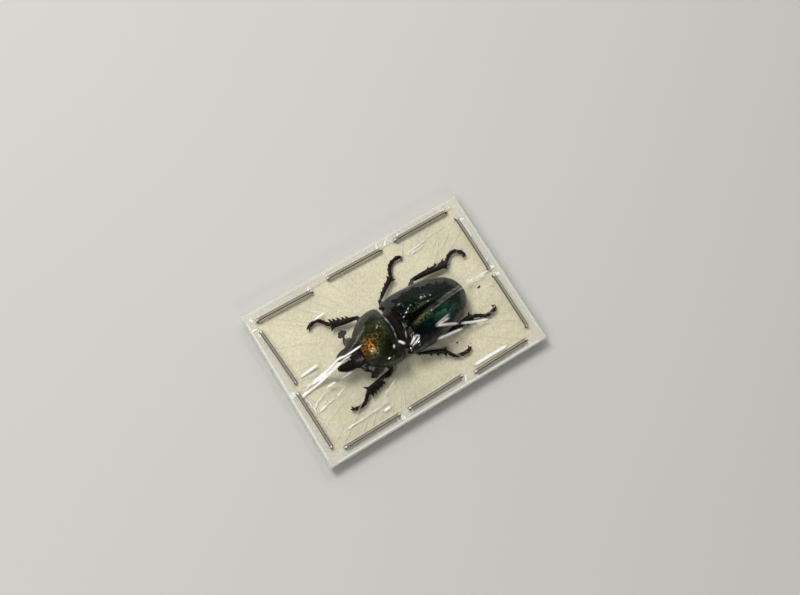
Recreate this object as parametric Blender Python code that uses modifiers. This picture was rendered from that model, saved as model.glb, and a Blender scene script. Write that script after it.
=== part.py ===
"""Saw-tooth beetle, dried, on a card under stretched clear film held by ten staples.

Row frame: origin on the surface the card lies on, +X along the card's long side
towards the beetle's tail, +Y towards the beetle's right side, +Z up. Metres.
"""

import math
import random

import bmesh
import bpy
from mathutils import Matrix, Vector
from mathutils.bvhtree import BVHTree

MM = 0.001
GAP = 0.3 * MM

# Card, clear film and staples
CARD_LENGTH = 50.0 * MM
CARD_WIDTH = 34.4 * MM
CARD_THICKNESS = 1.5 * MM
FILM_THICKNESS = 0.22 * MM
FILM_GAP = 0.2 * MM
FILM_CELL = 1.25 * MM
FILM_CLEARANCE = 0.36 * MM
FILM_FLAT_BAND = 3.0 * MM
WIRE_WIDTH = 0.7 * MM
WIRE_THICKNESS = 0.5 * MM
STAPLE_CROWN = 12.8 * MM
STAPLE_LEG_TURN = 3.4 * MM
SLOT_PLAY = 0.25 * MM
CARD_BOTTOM = WIRE_THICKNESS + FILM_GAP
CARD_TOP = CARD_BOTTOM + CARD_THICKNESS
CROWN_BOTTOM = CARD_TOP + 2 * FILM_GAP + FILM_THICKNESS

# How the film drapes: how far round a place the beetle holds it up, how strongly it is
# drawn down (as a curve per length), and the steps that pull it taut
FILM_REACH = 1.3 * MM
FILM_SUCTION = 0.12 / MM
FILM_STEPS = 300

# Each staple: its name, the middle of its crown and the heading of the crown
STAPLES = {
    "staple_right_1": (-16.6, 14.9, -1.5),
    "staple_right_2": (-0.2, 15.3, -1.0),
    "staple_right_3": (15.5, 15.4, -0.4),
    "staple_tail_1": (22.6, 6.9, 90.0),
    "staple_tail_2": (22.7, -7.1, 90.0),
    "staple_left_1": (15.0, -15.6, 1.2),
    "staple_left_2": (0.0, -15.1, 0.8),
    "staple_left_3": (-14.6, -15.2, 0.4),
    "staple_head_1": (-22.85, 6.6, -86.6),
    "staple_head_2": (-23.1, -7.7, -88.5),
}

# Beetle: where its middle line lies on the card, and how far it is turned
BEETLE_SHIFT = -0.85 * MM
BEETLE_TURN = math.radians(1.7)

# Wing cases: stations from front to tail as x, half width, crown height, edge height (mm)
ELYTRA_STATIONS = (
    (-1.2, 5.35, 4.9, 3.0),
    (0.0, 5.95, 5.9, 3.0),
    (2.0, 6.25, 6.8, 2.9),
    (5.0, 6.1, 7.1, 2.8),
    (8.0, 5.7, 6.7, 2.7),
    (10.5, 5.1, 5.9, 2.6),
    (12.5, 4.4, 4.9, 2.4),
    (14.2, 3.2, 3.8, 2.2),
    (15.1, 1.9, 3.0, 2.1),
    (15.4, 1.0, 2.7, 2.0),
)
ELYTRON_WALL = 0.55
ELYTRON_ROWS = 20
ELYTRON_ARC = 9
SHOULDER_FRONT = -1.1
SCUTELLUM_FRONT = 0.7
SCUTELLUM_LENGTH = 1.9
SCUTELLUM_HALF_WIDTH = 1.25

# Body pieces: stations as x, half width, top, side and bottom heights (mm)
PROTHORAX_STATIONS = (
    (-8.75, 3.35, 4.7, 2.9, 1.3),
    (-8.0, 4.1, 5.5, 3.0, 1.0),
    (-6.8, 4.95, 6.1, 3.1, 0.8),
    (-5.3, 5.65, 6.5, 3.1, 0.7),
    (-3.8, 5.9, 6.6, 3.1, 0.7),
    (-2.5, 5.75, 6.3, 3.1, 0.8),
    (-1.75, 5.3, 5.9, 3.0, 1.0),
    (-1.5, 4.6, 5.4, 2.9, 1.3),
)
HEAD_STATIONS = (
    (-9.05, 3.1, 4.4, 2.8, 1.3),
    (-9.6, 3.15, 4.5, 2.8, 1.2),
    (-10.2, 2.9, 4.3, 2.8, 1.3),
    (-10.7, 2.55, 3.9, 2.7, 1.5),
    (-11.0, 2.2, 3.6, 2.6, 1.7),
)
THORAX_STATIONS = (
    (-1.15, 4.0, 4.7, 2.7, 0.9),
    (-0.3, 4.5, 5.2, 2.6, 0.6),
    (0.9, 5.0, 5.3, 2.5, 0.5),
    (2.4, 5.25, 5.7, 2.4, 0.4),
    (4.6, 5.2, 6.1, 2.3, 0.4),
)
ABDOMEN_STATIONS = (
    (4.95, 5.05, 5.95, 2.2, 0.45),
    (6.5, 4.9, 5.8, 2.2, 0.45),
    (8.0, 4.65, 5.5, 2.1, 0.5),
    (10.0, 4.3, 5.0, 2.0, 0.6),
    (12.0, 3.6, 4.15, 1.8, 0.8),
    (13.4, 2.6, 3.3, 1.6, 1.0),
    (14.2, 1.7, 2.7, 1.6, 1.2),
)
MANDIBLE_ROOT_X = -11.35
MANDIBLE_TEETH = 6
EYE_RADIUS = 0.85
CLUB_LEAVES = 4
CLUB_FAN = 48
CLUB_LEAF = 0.8

# Legs: where the thigh leaves the body, thigh and shin lengths with their headings,
# headings of the five foot joints and of the claws, saw teeth as (place, side)
LEGS = {
    "foreleg_right": {
        "root": (-4.9, 3.4), "knee": (-5.4, 6.4), "shin": (5.4, 163), "scale": 0.86,
        "foot": (129, 118, 129, 158, 190), "claw": 235, "widths": (0.75, 1.45),
        "teeth": ((0.40, -1), (0.54, -1), (0.70, -1), (0.86, -1), (0.99, -1), (0.99, 1)),
    },
    "foreleg_left": {
        "root": (-4.9, -3.4), "knee": (-5.5, -6.1), "shin": (6.1, 191), "scale": 0.82,
        "foot": (210, 231, 205, 187, 178), "claw": 105, "widths": (0.95, 1.7),
        "teeth": ((0.34, 1), (0.46, 1), (0.59, 1), (0.72, 1), (0.86, 1), (0.98, 1), (0.99, -1)),
    },
    "midleg_right": {
        "root": (0.2, 3.6), "knee": (0.15, 6.75), "shin": (5.5, 33), "scale": 0.94,
        "foot": (68, 62, 45, 25, 5), "claw": 282, "widths": (0.5, 1.0),
        "teeth": ((0.35, 1), (0.52, 1), (0.70, 1), (0.97, 1), (0.98, -1)),
    },
    "midleg_left": {
        "root": (0.4, -3.6), "knee": (1.0, -6.3), "shin": (5.4, 333), "scale": 0.90,
        "foot": (295, 309, 332, 353, 355), "claw": 70, "widths": (0.5, 1.0),
        "teeth": ((0.45, -1), (0.70, -1), (0.97, -1), (0.98, 1)),
    },
    "hindleg_right": {
        "root": (5.0, 3.6), "knee": (7.9, 6.95), "shin": (7.8, 355), "scale": 0.97,
        "foot": (36, 38, 15, 345, 312), "claw": 235, "widths": (0.85, 1.45),
        "teeth": ((0.55, 1), (0.76, 1), (0.98, 1), (0.98, -1)),
    },
    "hindleg_left": {
        "root": (5.0, -3.6), "knee": (7.2, -5.95), "shin": (6.8, 2), "scale": 0.95,
        "foot": (348, 325, 330, 355, 8), "claw": 110, "widths": (0.75, 1.4),
        "teeth": ((0.47, -1), (0.78, -1), (0.98, -1), (0.98, 1)),
    },
}
FOOT_JOINTS = (1.15, 0.95, 0.95, 0.9, 1.35)
SHIN_HEIGHT = 1.15
FOOT_HEIGHT = 0.75
KNEE_HEIGHT = 1.5
LEG_THICKNESS = 0.62
TOOTH_LENGTH = 0.85
TOOTH_RADIUS = 0.27

# Radii along each piece of a limb, from its root to its point (mm)
THIGH_RADII = (0.4, 0.6, 0.65, 0.4)
JOINT_RADII = (0.3, 0.32, 0.39, 0.24)
CLAW_RADII = (0.31, 0.27, 0.1)
LEAF_RADII = (0.3, 0.42, 0.27)
STEM_RADII = (0.3, 0.34)
FEELER_RADIUS = 0.32
BEAD_RADIUS = 0.37
KNEE_RADIUS = 0.46
CLAW_SPREAD = 20

COLOURS = {
    "card": ((0.62, 0.56, 0.43, 1.0), 0.8, 0.0),
    "clear_film": ((0.8, 0.82, 0.8, 1.0), 0.15, 0.0),
    "staple_wire": ((0.32, 0.31, 0.29, 1.0), 0.35, 0.9),
    "green_gold": ((0.05, 0.06, 0.02, 1.0), 0.3, 0.6),
    "teal_green": ((0.006, 0.035, 0.028, 1.0), 0.2, 0.6),
    "dark_shell": ((0.012, 0.009, 0.008, 1.0), 0.35, 0.0),
    "eye_black": ((0.008, 0.006, 0.005, 1.0), 0.15, 0.0),
}


def clear_scene():
    """Remove every object that the file holds."""
    for thing in list(bpy.data.objects):
        bpy.data.objects.remove(thing, do_unlink=True)


def make_collection(name):
    group = bpy.data.collections.new(name)
    bpy.context.scene.collection.children.link(group)
    return group


def make_materials():
    """One Principled BSDF material for each finish."""
    made = {}
    for name, (colour, roughness, metallic) in COLOURS.items():
        material = bpy.data.materials.new(name)
        material.use_nodes = True
        shader = material.node_tree.nodes["Principled BSDF"]
        shader.inputs["Base Color"].default_value = colour
        shader.inputs["Roughness"].default_value = roughness
        shader.inputs["Metallic"].default_value = metallic
        made[name] = material
    return made


def add_object(name, mesh, material, parent=None):
    thing = bpy.data.objects.new(name, mesh)
    PARTS.objects.link(thing)
    thing.data.materials.append(MATERIALS[material])
    thing.parent = parent
    return thing


def mesh_of(name, build, smooth=35.0):
    """A mesh from a bmesh, with outward faces and its round parts shaded smooth."""
    bmesh.ops.recalc_face_normals(build, faces=build.faces)
    mesh = bpy.data.meshes.new(name)
    build.to_mesh(mesh)
    build.free()
    mesh.shade_smooth()
    mesh.set_sharp_from_angle(angle=math.radians(smooth))
    return mesh


def evaluated_mesh(thing):
    graph = bpy.context.evaluated_depsgraph_get()
    return bpy.data.meshes.new_from_object(thing.evaluated_get(graph))


def smooth_value(stations, x, column):
    """A column of a station table at x, on a smooth curve through its stations."""
    xs = [row[0] for row in stations]
    ys = [row[column] for row in stations]
    if xs[0] > xs[-1]:
        xs, ys = xs[::-1], ys[::-1]
    x = min(max(x, xs[0]), xs[-1])
    i = max(k for k in range(len(xs) - 1) if xs[k] <= x)
    slopes = [(ys[k + 1] - ys[k]) / (xs[k + 1] - xs[k]) for k in range(len(xs) - 1)]
    tangents = [slopes[0]] + [(a + b) / 2 for a, b in zip(slopes, slopes[1:])] + [slopes[-1]]
    span = xs[i + 1] - xs[i]
    t = (x - xs[i]) / span
    return (
        ys[i] * (2 * t**3 - 3 * t**2 + 1)
        + ys[i + 1] * (3 * t**2 - 2 * t**3)
        + tangents[i] * span * (t**3 - 2 * t**2 + t)
        + tangents[i + 1] * span * (t**3 - t**2)
    )


def loft(name, rings):
    """A closed surface through rings of equal count, each end closed by a fan."""
    build = bmesh.new()
    rows = [[build.verts.new(point) for point in ring] for ring in rings]
    count = len(rows[0])
    for first, second in zip(rows, rows[1:]):
        for k in range(count):
            corners = (first[k], first[(k + 1) % count], second[(k + 1) % count], second[k])
            build.faces.new(corners)
    for row in (rows[0], rows[-1]):
        middle = sum((vert.co for vert in row), Vector()) / count
        centre = build.verts.new(middle)
        for k in range(count):
            build.faces.new((row[k], row[(k + 1) % count], centre))
    return mesh_of(name, build)


def body_ring(x, half_width, top, side, bottom, count=24, upper=0.85, lower=0.8):
    """A beetle's cross-section: a domed back, a keeled side and a flatter belly."""
    ring = []
    for k in range(count):
        angle = 2 * math.pi * k / count
        across, rise = math.cos(angle), math.sin(angle)
        y = half_width * math.copysign(abs(across) ** 0.9, across)
        if rise >= 0:
            z = side + (top - side) * rise**upper
        else:
            z = side - (side - bottom) * abs(rise) ** lower
        ring.append(Vector((x, y, z)) * MM)
    return ring


def body_piece(name, stations, rows, material, upper=0.85):
    """A body piece lofted through its stations, with rows rings between its two ends."""
    first, last = stations[0][0], stations[-1][0]
    rings = []
    for k in range(rows + 1):
        x = first + (last - first) * k / rows
        values = [smooth_value(stations, x, column) for column in (1, 2, 3, 4)]
        rings.append(body_ring(x, *values, upper=upper))
    return add_object(name, loft(name, rings), material, BEETLE)


def scutellum_half(x):
    """Half width of the scutellum at x, zero behind its point (mm)."""
    t = (x - SCUTELLUM_FRONT) / SCUTELLUM_LENGTH
    if t >= 1:
        return 0.0
    return SCUTELLUM_HALF_WIDTH * math.sqrt(max(0.0, 1 - max(t, 0.0) ** 1.6))


def elytron_point(along, around, inset, side):
    """A point of a wing case: along from front to tail, around from seam to edge."""
    shoulder = around**1.7
    front = SCUTELLUM_FRONT + 0.35 + (SHOULDER_FRONT - SCUTELLUM_FRONT - 0.35) * shoulder
    tail = ELYTRA_STATIONS[-1][0]
    x = front + (tail - front) * along
    half = smooth_value(ELYTRA_STATIONS, x, 1)
    top = smooth_value(ELYTRA_STATIONS, x, 2)
    edge = smooth_value(ELYTRA_STATIONS, x, 3)
    wall = inset * min(1.0, 0.35 * half + 0.25)
    seam = 0.15 + (scutellum_half(x) + 0.3 if scutellum_half(x) > 0 else 0.0)
    seam = min(seam, half - 0.5)
    angle = around * math.radians(98)
    y = seam + (half - wall - seam) * math.sin(min(angle, math.pi / 2)) ** 0.95
    z = edge + (top - wall - edge) * max(0.0, math.cos(angle)) ** 0.8
    if around >= 1.0:
        z = edge - 0.35
        y = half - wall - 0.1
    return Vector((x, y * side, z)) * MM


def make_elytron(name, side):
    """A wing case: a curved wall, thinner at the tail, cut back round the scutellum."""
    rings = []
    for i in range(ELYTRON_ROWS + 1):
        along = (i / ELYTRON_ROWS) ** 0.85
        arc = [j / ELYTRON_ARC for j in range(ELYTRON_ARC + 1)]
        outer = [elytron_point(along, a, 0.0, side) for a in arc]
        inner = [elytron_point(along, a, ELYTRON_WALL, side) for a in reversed(arc)]
        rings.append(outer + inner)
    return add_object(name, loft(name, rings), "teal_green", BEETLE)


def make_scutellum():
    """The small shield between the roots of the wing cases."""
    rings = []
    rows = 6
    for k in range(rows + 1):
        x = SCUTELLUM_FRONT - 0.35 + (SCUTELLUM_LENGTH + 0.2) * k / rows
        half = max(0.12, scutellum_half(x))
        top = smooth_value(ELYTRA_STATIONS, x, 2) + 0.02
        low = smooth_value(THORAX_STATIONS, x, 2) + 0.32
        low = min(low, top - 0.25)
        ring = []
        for j in range(12):
            angle = 2 * math.pi * j / 12
            y = half * math.cos(angle)
            z = (top + low) / 2 + (top - low) / 2 * math.sin(angle)
            ring.append(Vector((x, y, z)) * MM)
        rings.append(ring)
    return add_object("scutellum", loft("scutellum", rings), "dark_shell", BEETLE)


def tube_mesh(name, points, radii, sides=8, flatten=1.0):
    """A tube along points with its own radius at each, flattened across by a factor."""
    rings = []
    for k, point in enumerate(points):
        before = points[max(k - 1, 0)]
        after = points[min(k + 1, len(points) - 1)]
        forward = (after - before).normalized()
        across = forward.cross(Vector((0, 0, 1)))
        if across.length < 1e-6:
            across = Vector((0, 1, 0))
        across.normalize()
        upward = across.cross(forward).normalized()
        ring = []
        for j in range(sides):
            angle = 2 * math.pi * j / sides
            wide = across * radii[k] * math.cos(angle)
            tall = upward * radii[k] * flatten * math.sin(angle)
            ring.append((point + wide + tall) * MM)
        rings.append(ring)
    return loft(name, rings)


def ball_mesh(name, centre, radius, squash=(1, 1, 1), segments=10, rings=7):
    build = bmesh.new()
    bmesh.ops.create_uvsphere(build, u_segments=segments, v_segments=rings, radius=radius * MM)
    bmesh.ops.scale(build, vec=Vector(squash), verts=build.verts)
    bmesh.ops.translate(build, vec=Vector(centre) * MM, verts=build.verts)
    return mesh_of(name, build)


def cone_mesh(name, root, tip, radius, sides=5):
    """A spine from root to tip, with a fine blunt point."""
    direction = tip - root
    build = bmesh.new()
    bmesh.ops.create_cone(
        build, cap_ends=True, segments=sides,
        radius1=radius * MM, radius2=0.06 * MM, depth=direction.length * MM,
    )
    turn = direction.to_track_quat("Z", "Y").to_matrix().to_4x4()
    middle = Matrix.Translation((root + tip) / 2 * MM)
    bmesh.ops.transform(build, matrix=middle @ turn, verts=build.verts)
    return mesh_of(name, build)


def fuse(node, meshes):
    """Join closed meshes to a node by one union and keep the largest closed surface."""
    helpers = bpy.data.collections.new(node.name + "_pieces")
    bpy.context.scene.collection.children.link(helpers)
    for mesh in meshes:
        helper = bpy.data.objects.new(mesh.name, mesh)
        helper.parent = BEETLE
        helpers.objects.link(helper)
    union = node.modifiers.new("fuse", "BOOLEAN")
    union.operation = "UNION"
    union.operand_type = "COLLECTION"
    union.collection = helpers
    union.solver = "EXACT"
    union.use_self = True
    bpy.context.view_layer.update()
    joined = evaluated_mesh(node)
    node.modifiers.clear()
    material = node.data.materials[0]
    node.data = largest_surface(joined)
    node.data.materials.clear()
    node.data.materials.append(material)
    for helper in list(helpers.objects):
        bpy.data.objects.remove(helper, do_unlink=True)
    bpy.data.collections.remove(helpers)


def largest_surface(mesh):
    """The mesh with only its largest connected surface, by area."""
    build = bmesh.new()
    build.from_mesh(mesh)
    bmesh.ops.remove_doubles(build, verts=build.verts, dist=0.002 * MM)
    seen = set()
    groups = []
    for start in build.faces:
        if start.index in seen:
            continue
        group, waiting = [], [start]
        seen.add(start.index)
        while waiting:
            face = waiting.pop()
            group.append(face)
            for edge in face.edges:
                for other in edge.link_faces:
                    if other.index not in seen:
                        seen.add(other.index)
                        waiting.append(other)
        groups.append(group)
    groups.sort(key=lambda faces: sum(face.calc_area() for face in faces))
    for group in groups[:-1]:
        bmesh.ops.delete(build, geom=group, context="FACES")
    bmesh.ops.triangulate(build, faces=build.faces)
    build.to_mesh(mesh)
    build.free()
    mesh.shade_smooth()
    mesh.set_sharp_from_angle(angle=math.radians(40))
    return mesh


def inflated(thing, amount):
    """A copy of a piece's surface moved out along its normals, as a cutter mesh."""
    build = bmesh.new()
    build.from_mesh(evaluated_mesh(thing))
    bmesh.ops.remove_doubles(build, verts=build.verts, dist=0.002 * MM)
    build.normal_update()
    moves = [(vert, vert.co + vert.normal * vert.calc_shell_factor() * amount) for vert in build.verts]
    for vert, place in moves:
        vert.co = place
    mesh = bpy.data.meshes.new(thing.name + "_clearance")
    build.to_mesh(mesh)
    build.free()
    return mesh


def clear_of(node, others):
    """Cut a node back until it keeps the gap to each of the others."""
    for other in others:
        cutter = bpy.data.objects.new("clearance", inflated(other, GAP))
        cutter.parent = BEETLE
        CUTTERS.objects.link(cutter)
        bpy.context.view_layer.update()
        cut = node.modifiers.new("clearance", "BOOLEAN")
        cut.operation = "DIFFERENCE"
        cut.object = cutter
        cut.solver = "EXACT"
        joined = evaluated_mesh(node)
        node.modifiers.clear()
        material = node.data.materials[0]
        node.data = largest_surface(joined)
        node.data.materials.clear()
        node.data.materials.append(material)
        bpy.data.objects.remove(cutter, do_unlink=True)


def heading(degrees):
    return Vector((math.cos(math.radians(degrees)), math.sin(math.radians(degrees)), 0))


def make_leg(name, pose, draw):
    """A leg: thigh, flat toothed shin, five foot joints and a pair of hooked claws."""
    root = Vector((*pose["root"], 1.15))
    knee = Vector((*pose["knee"], KNEE_HEIGHT))
    length, turn = pose["shin"]
    thin, wide = pose["widths"]
    ankle = knee + heading(turn) * length
    ankle.z = SHIN_HEIGHT
    thigh_points = [root.lerp(knee, t) for t in (0.0, 0.25, 0.6, 1.0)]
    node = add_object(name, tube_mesh(name, thigh_points, THIGH_RADII), "dark_shell", BEETLE)
    pieces = [ball_mesh("knee", knee, KNEE_RADIUS, (1, 1, 0.85), 8, 5)]
    shin_points = [knee.lerp(ankle, t) for t in (0.0, 0.3, 0.65, 0.93, 1.0)]
    shin_radii = [thin / 2 + (wide - thin) / 2 * t for t in (0.0, 0.35, 0.75, 1.0, 0.7)]
    pieces.append(tube_mesh("shin", shin_points, shin_radii, 8, LEG_THICKNESS))
    forward = (ankle - knee).normalized()
    left = Vector((-forward.y, forward.x, 0)).normalized()
    for place, side in pose["teeth"]:
        foot = knee.lerp(ankle, place - 0.05)
        reach = thin / 2 + (wide - thin) / 2 * place
        size = TOOTH_LENGTH * draw.uniform(0.85, 1.15) * (0.55 + 0.45 * place)
        tip = foot + left * side * (reach + size * 0.75) + forward * size * 0.7
        pieces.append(cone_mesh("tooth", foot + left * side * reach * 0.35, tip, TOOTH_RADIUS))
    pieces += foot_pieces(ankle, pose)
    fuse(node, pieces)
    return node


def foot_pieces(ankle, pose):
    """The foot's joints, each swelling towards its end, and the two claws."""
    pieces = []
    start = ankle.copy()
    for k, (size, turn) in enumerate(zip(FOOT_JOINTS, pose["foot"])):
        end = start + heading(turn) * size * pose["scale"]
        end.z = FOOT_HEIGHT if k else (FOOT_HEIGHT + SHIN_HEIGHT) / 2
        back = start - (end - start).normalized() * 0.12
        points = [back, back.lerp(end, 0.55), end, end + (end - start).normalized() * 0.1]
        pieces.append(tube_mesh("joint", points, JOINT_RADII, 6))
        start = end
    for spread in (-CLAW_SPREAD, CLAW_SPREAD):
        points = [
            start - heading(pose["foot"][-1]) * 0.15,
            start + heading(pose["claw"] + spread * 1.6) * 0.25 + heading(pose["foot"][-1]) * 0.2,
            start + heading(pose["claw"] + spread) * 0.85,
        ]
        points[2].z = 0.6
        pieces.append(tube_mesh("claw", points, CLAW_RADII, 5))
    return pieces


def jaw_width(t):
    """Half width of a jaw at t from root to point (mm)."""
    return 0.97 * (1 - 0.42 * t**1.6)


def make_mandible(name, side, reach, draw):
    """A stout jaw that curves up to its point, with small saw teeth on its inner edge."""
    path = []
    radii = []
    steps = 8
    for k in range(steps + 1):
        t = k / steps
        x = MANDIBLE_ROOT_X - reach * t
        y = 1.28 + 0.1 * math.sin(math.pi * t) - 0.5 * t**2
        z = 2.75 + 1.15 * t**1.8
        path.append(Vector((x, y * side, z)))
        radii.append(jaw_width(t) if k < steps else 0.4)
    node = add_object(name, tube_mesh(name, path, radii, 10, 0.8), "dark_shell", BEETLE)
    pieces = []
    for k in range(MANDIBLE_TEETH):
        t = 0.2 + 0.62 * k / (MANDIBLE_TEETH - 1)
        x = MANDIBLE_ROOT_X - reach * t
        y = 1.28 + 0.1 * math.sin(math.pi * t) - 0.5 * t**2
        z = 2.95 + 1.15 * t**1.8
        inner = y - jaw_width(t)
        length = min(0.3 * draw.uniform(0.8, 1.1), max(inner - 0.17, 0.08))
        root = Vector((x, (inner + 0.3) * side, z))
        tip = Vector((x - 0.15, (inner - length) * side, z + 0.12))
        pieces.append(cone_mesh("tooth", root, tip, 0.2))
    lobe = Vector((MANDIBLE_ROOT_X - reach * 0.42, 1.98 * side, 3.05))
    pieces.append(ball_mesh("lobe", lobe, 0.42, (1.5, 0.7, 0.9), 8, 5))
    fuse(node, pieces)
    return node


def make_antenna(name, side, path, club, club_turn):
    """An elbowed feeler: a long first joint, small beads, and a club of four leaves."""
    points = [Vector((x, y * side, z)) for x, y, z in path]
    node = add_object(name, tube_mesh(name, points, [FEELER_RADIUS] * len(points), 8), "dark_shell", BEETLE)
    centre = Vector((club[0], club[1] * side, club[2]))
    pieces = []
    beads = 2
    for k in range(1, beads + 1):
        place = points[-1].lerp(centre, k / (beads + 1.5))
        pieces.append(ball_mesh("bead", place, BEAD_RADIUS + 0.01 * k, (1, 1, 1), 7, 6))
    for k in range(CLUB_LEAVES):
        turn = club_turn + (k - (CLUB_LEAVES - 1) / 2) * CLUB_FAN
        base = centre + Vector((0, 0, 0.13 * k - 0.2))
        tip = base + heading(turn) * CLUB_LEAF
        leaf = [base - heading(turn) * (0.1 + 0.03 * k), base.lerp(tip, 0.6), tip]
        radii = (LEAF_RADII[0] + 0.01 * k, *LEAF_RADII[1:])
        pieces.append(tube_mesh("leaf", leaf, radii, 7))
    pieces.append(tube_mesh("stem", [points[-1], centre], STEM_RADII, 6))
    fuse(node, pieces)
    return node


def make_card():
    """The card, with a slot for each staple leg."""
    bpy.ops.mesh.primitive_cube_add(size=1)
    card = bpy.context.object
    card.name = "card"
    move_to_parts(card)
    card.scale = (CARD_LENGTH, CARD_WIDTH, CARD_THICKNESS)
    bpy.ops.object.transform_apply(location=False, rotation=False, scale=True)
    card.location = (0, 0, (CARD_TOP + CARD_BOTTOM) / 2)
    card.data.materials.append(MATERIALS["card"])
    cut_slots(card)
    return card


def move_to_parts(thing):
    for group in list(thing.users_collection):
        group.objects.unlink(thing)
    PARTS.objects.link(thing)


def cut_slots(thing):
    cut = thing.modifiers.new("staple_slots", "BOOLEAN")
    cut.operation = "DIFFERENCE"
    cut.operand_type = "COLLECTION"
    cut.collection = CUTTERS
    cut.solver = "EXACT"


def make_slot_cutters():
    """A box cutter round every staple leg."""
    play = 2 * SLOT_PLAY
    for name, (x, y, turn) in STAPLES.items():
        for end in (-1, 1):
            build = bmesh.new()
            bmesh.ops.create_cube(build, size=1)
            bmesh.ops.scale(
                build, vec=(WIRE_THICKNESS + play, WIRE_WIDTH + play, 8 * MM), verts=build.verts
            )
            mesh = mesh_of(name + "_slot", build)
            cutter = bpy.data.objects.new(f"{name}_slot_{end}", mesh)
            CUTTERS.objects.link(cutter)
            reach = (STAPLE_CROWN - WIRE_THICKNESS) / 2 * end
            cutter.location = Vector((x, y, 0)) * MM + heading(turn) * reach
            cutter.location.z = CARD_TOP
            cutter.rotation_euler.z = math.radians(turn)
            cutter.hide_render = True
            cutter.display_type = "WIRE"


def arc(centre_x, centre_y, radius, start, end, steps):
    """Points on an arc, angles in degrees."""
    angles = [math.radians(start + (end - start) * k / steps) for k in range(steps + 1)]
    return [(centre_x + radius * math.cos(a), centre_y + radius * math.sin(a)) for a in angles]


def make_staple(name, x, y, turn):
    """A wire staple: flat crown, two legs through the card, and their ends turned in."""
    half = STAPLE_CROWN / 2
    top = CROWN_BOTTOM + WIRE_THICKNESS
    wire = WIRE_THICKNESS
    bend = 0.75 * MM
    under = CARD_BOTTOM - FILM_GAP
    right = (
        arc(half - bend, top - bend, bend, 90, 0, 3)
        + arc(half - bend, bend, bend, 0, -90, 3)
        + [(half - STAPLE_LEG_TURN, 0.0), (half - STAPLE_LEG_TURN, under)]
        + arc(half - bend, under + 0.2 * MM, bend - wire, -90, 0, 2)
        + arc(half - bend, CROWN_BOTTOM - 0.2 * MM, bend - wire, 0, 90, 2)
    )
    left = [(-px, pz) for px, pz in reversed(right)]
    outline = right + left
    curve = bpy.data.curves.new(name, "CURVE")
    curve.dimensions = "2D"
    curve.fill_mode = "BOTH"
    curve.extrude = WIRE_WIDTH / 2
    spline = curve.splines.new("POLY")
    spline.points.add(len(outline) - 1)
    spline.use_cyclic_u = True
    for point, (px, pz) in zip(spline.points, outline):
        point.co = (px, pz, 0, 1)
    staple = add_object(name, curve, "staple_wire")
    staple.location = (x * MM, y * MM, 0)
    staple.rotation_euler = (math.radians(90), 0, math.radians(turn))
    return staple


def beetle_tree(things):
    """The beetle's whole surface, as a tree that finds the height under the film."""
    build = bmesh.new()
    bpy.context.view_layer.update()
    for thing in things:
        mesh = evaluated_mesh(thing)
        mesh.transform(thing.matrix_world)
        build.from_mesh(mesh)
        bpy.data.meshes.remove(mesh)
    tree = BVHTree.FromBMesh(build)
    build.free()
    return tree


def held_flat(x, y):
    """Whether a place lies in the band that the staples hold down."""
    flat_x = abs(x) > CARD_LENGTH / 2 - FILM_FLAT_BAND - 0.01 * MM
    flat_y = abs(y) > CARD_WIDTH / 2 - FILM_FLAT_BAND - 0.01 * MM
    return flat_x or flat_y


def lowest_film(tree, x, y):
    """The least height of the film's under side at x and y that clears the beetle nearby."""
    height = CARD_TOP + FILM_GAP
    if held_flat(x, y):
        return height
    above = Vector((x, y, 30 * MM))
    for reach in (0.0, FILM_REACH / 2, FILM_REACH):
        for degrees in range(0, 360, 30):
            hit = tree.ray_cast(above + heading(degrees) * reach, Vector((0, 0, -1)))[0]
            if hit:
                height = max(height, hit.z + FILM_CLEARANCE)
    return height


def draped(tree, xs, ys):
    """Heights of the film, pulled taut from staple to staple and down against the beetle."""
    lowest = [[lowest_film(tree, x, y) for y in ys] for x in xs]
    top = max(max(row) for row in lowest)
    heights = [[low if held_flat(x, y) else top for y, low in zip(ys, row)] for x, row in zip(xs, lowest)]
    sink = FILM_SUCTION * FILM_CELL**2 / 4
    for _ in range(FILM_STEPS):
        for i in range(1, len(xs) - 1):
            for j in range(1, len(ys) - 1):
                if held_flat(xs[i], ys[j]):
                    continue
                around = heights[i - 1][j] + heights[i + 1][j] + heights[i][j - 1] + heights[i][j + 1]
                heights[i][j] = max(around / 4 - sink, lowest[i][j])
    return heights


def film_lines(size):
    """Grid lines across the film: its rim, the staple band and even cells between."""
    inner = size / 2 - FILM_FLAT_BAND
    cells = round(2 * inner / FILM_CELL)
    middle = [-inner + 2 * inner * k / cells for k in range(cells + 1)]
    rim = size / 2 + FILM_GAP
    return [-rim, *middle, rim]


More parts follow.
